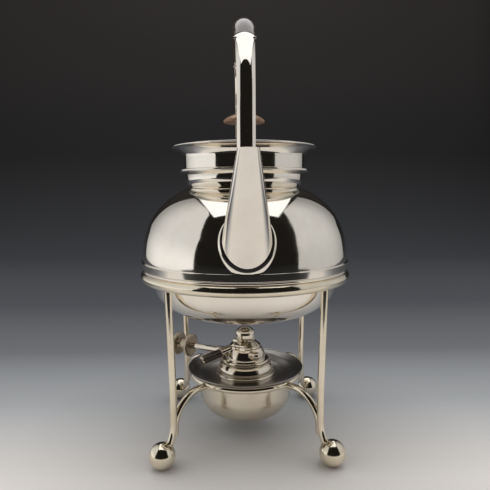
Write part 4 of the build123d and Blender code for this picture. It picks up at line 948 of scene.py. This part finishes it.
def makeBackdrop():
    # floor that curves up into a wall behind: flat out to the bend, then a quarter circle, then straight up
    bend, behind, top, half, columns = 0.45, 1.0, 1.8, 1.8, 13
    turn = np.linspace(0, math.pi / 2, 24)
    y = np.concatenate([[-1.6, -0.8, 0.0], behind + bend * np.sin(turn), [behind + bend]])
    z = np.concatenate([[0, 0, 0], bend - bend * np.cos(turn), [top]])
    x, y = np.meshgrid(np.linspace(-half, half, columns), y)
    points = np.stack([x, y, np.repeat(z[:, None], columns, 1)], axis=-1)
    row, column = np.meshgrid(np.arange(len(z) - 1), np.arange(columns - 1), indexing="ij")
    spot = row * columns + column
    faces = np.stack([spot, spot + 1, spot + columns + 1, spot + columns], axis=-1).reshape(-1, 4)
    tree = addStage("paperSweep", points.reshape(-1, 3).tolist(), faces.tolist())
    split = addNode(tree, "ShaderNodeSeparateXYZ", Vector=objectPlace(tree)).outputs
    climb = addMath(tree, "MULTIPLY_ADD", split["Z"], 0.8, split["Y"])
    first, last = studio["paper"][0][0], studio["paper"][-1][0]
    # the ramp paints the falloff of the light into the paper's tone: dark in front of the edge, pale near it,
    # darker towards the back and up the wall
    tone = addRamp(tree, addMapRange(tree, climb, first, last, 0.0, 1.0),
                   [((stop[0] - first) / (last - first), stop[1:]) for stop in studio["paper"]])
    # the pale tone also shows by itself, to the eye and in the metal, without lighting the kettle: a painted
    # glow;
    # this glow sinks by ambient occlusion where the object stands over the paper, a painted soft shadow beside
    # the real one
    path = addNode(tree, "ShaderNodeLightPath").outputs
    seen = addMath(tree, "MAXIMUM", path["Is Camera Ray"], path["Is Glossy Ray"])
    seen = addMath(tree, "MAXIMUM", seen, path["Is Transmission Ray"])
    cover = addNode(tree, "ShaderNodeAmbientOcclusion", {"samples": 16}, Distance=studio["shadowReach"])
    uncovered = addMath(tree, "POWER", cover.outputs["AO"], studio["shadowDepth"])
    glow = addMath(tree, "MULTIPLY", seen, addMath(tree, "MULTIPLY", uncovered, studio["paperGlow"]))
    feedSurface(tree, Base_Color=tone, Emission_Color=tone, Emission_Strength=glow, Roughness=0.75,
                Specular_IOR_Level=0.2)


def addSoftbox(name, x, glow, low, outline):
    # a flat glowing sheet on the plane of one x; its glow has the share low at the floor,
    # and fades towards the back
    tree = addStage(name, [(x, y, z) for y, z in outline], [list(range(len(outline)))])
    split = addNode(tree, "ShaderNodeSeparateXYZ", Vector=objectPlace(tree)).outputs
    smooth = {"interpolation_type": "SMOOTHSTEP"}
    rise = addMapRange(tree, split["Z"], *studio["lowReach"], low * glow, glow, smooth)
    fade = addMapRange(tree, split["Y"], *studio["backFade"], smooth)
    lamp = addNode(tree, "ShaderNodeEmission", Strength=addMath(tree, "MULTIPLY", rise, fade))
    tree.links.new(lamp.outputs["Emission"], tree.nodes["Material Output"].inputs["Surface"])


def addOverhead():
    # a soft rectangular lamp that looks straight down; power = glow * pi * area
    light = bpy.data.lights.new("topPanel", "AREA")
    light.shape = "RECTANGLE"
    width, depth = light.size, light.size_y = studio["topSize"]
    light.energy = studio["topGlow"] * math.pi * width * depth
    addObject("topPanel", light).location = studio["topSpot"]


makeBackdrop()
for name, values in softboxes.items():
    addSoftbox(name, *values)
addOverhead()

world = bpy.data.worlds.new("quietRoom")
world.use_nodes = True
background = world.node_tree.nodes["Background"].inputs
background["Color"].default_value = studio["worldColor"]
background["Strength"].default_value = studio["worldStrength"]
bpy.context.scene.world = world

# metres and radians; azimuth in degrees, focal length in picture points of a 490-wide picture
view = {"distance": 0.38769, "height": 0.1916, "sideways": 0.00024, "pitch": 0.1061, "roll": -0.0053,
        "azimuth": -1.3, "focal": 492.85, "picture": 490}
cameraData = bpy.data.cameras.new("photoView")
cameraData.sensor_width = 36.0
cameraData.lens = cameraData.sensor_width * view["focal"] / view["picture"]
cameraData.clip_start = 0.01
camera = addObject("photoView", cameraData)
camera.matrix_world = (
    Matrix.Rotation(math.radians(view["azimuth"]), 4, "Z")
    @ Matrix.Translation((view["sideways"], -view["distance"], view["height"]))
    @ Matrix.Rotation(math.pi / 2 - view["pitch"], 4, "X") @ Matrix.Rotation(view["roll"], 4, "Z"))
bpy.context.scene.camera = camera
bpy.context.scene.view_settings.view_transform = "Standard"
print("studio and camera set")
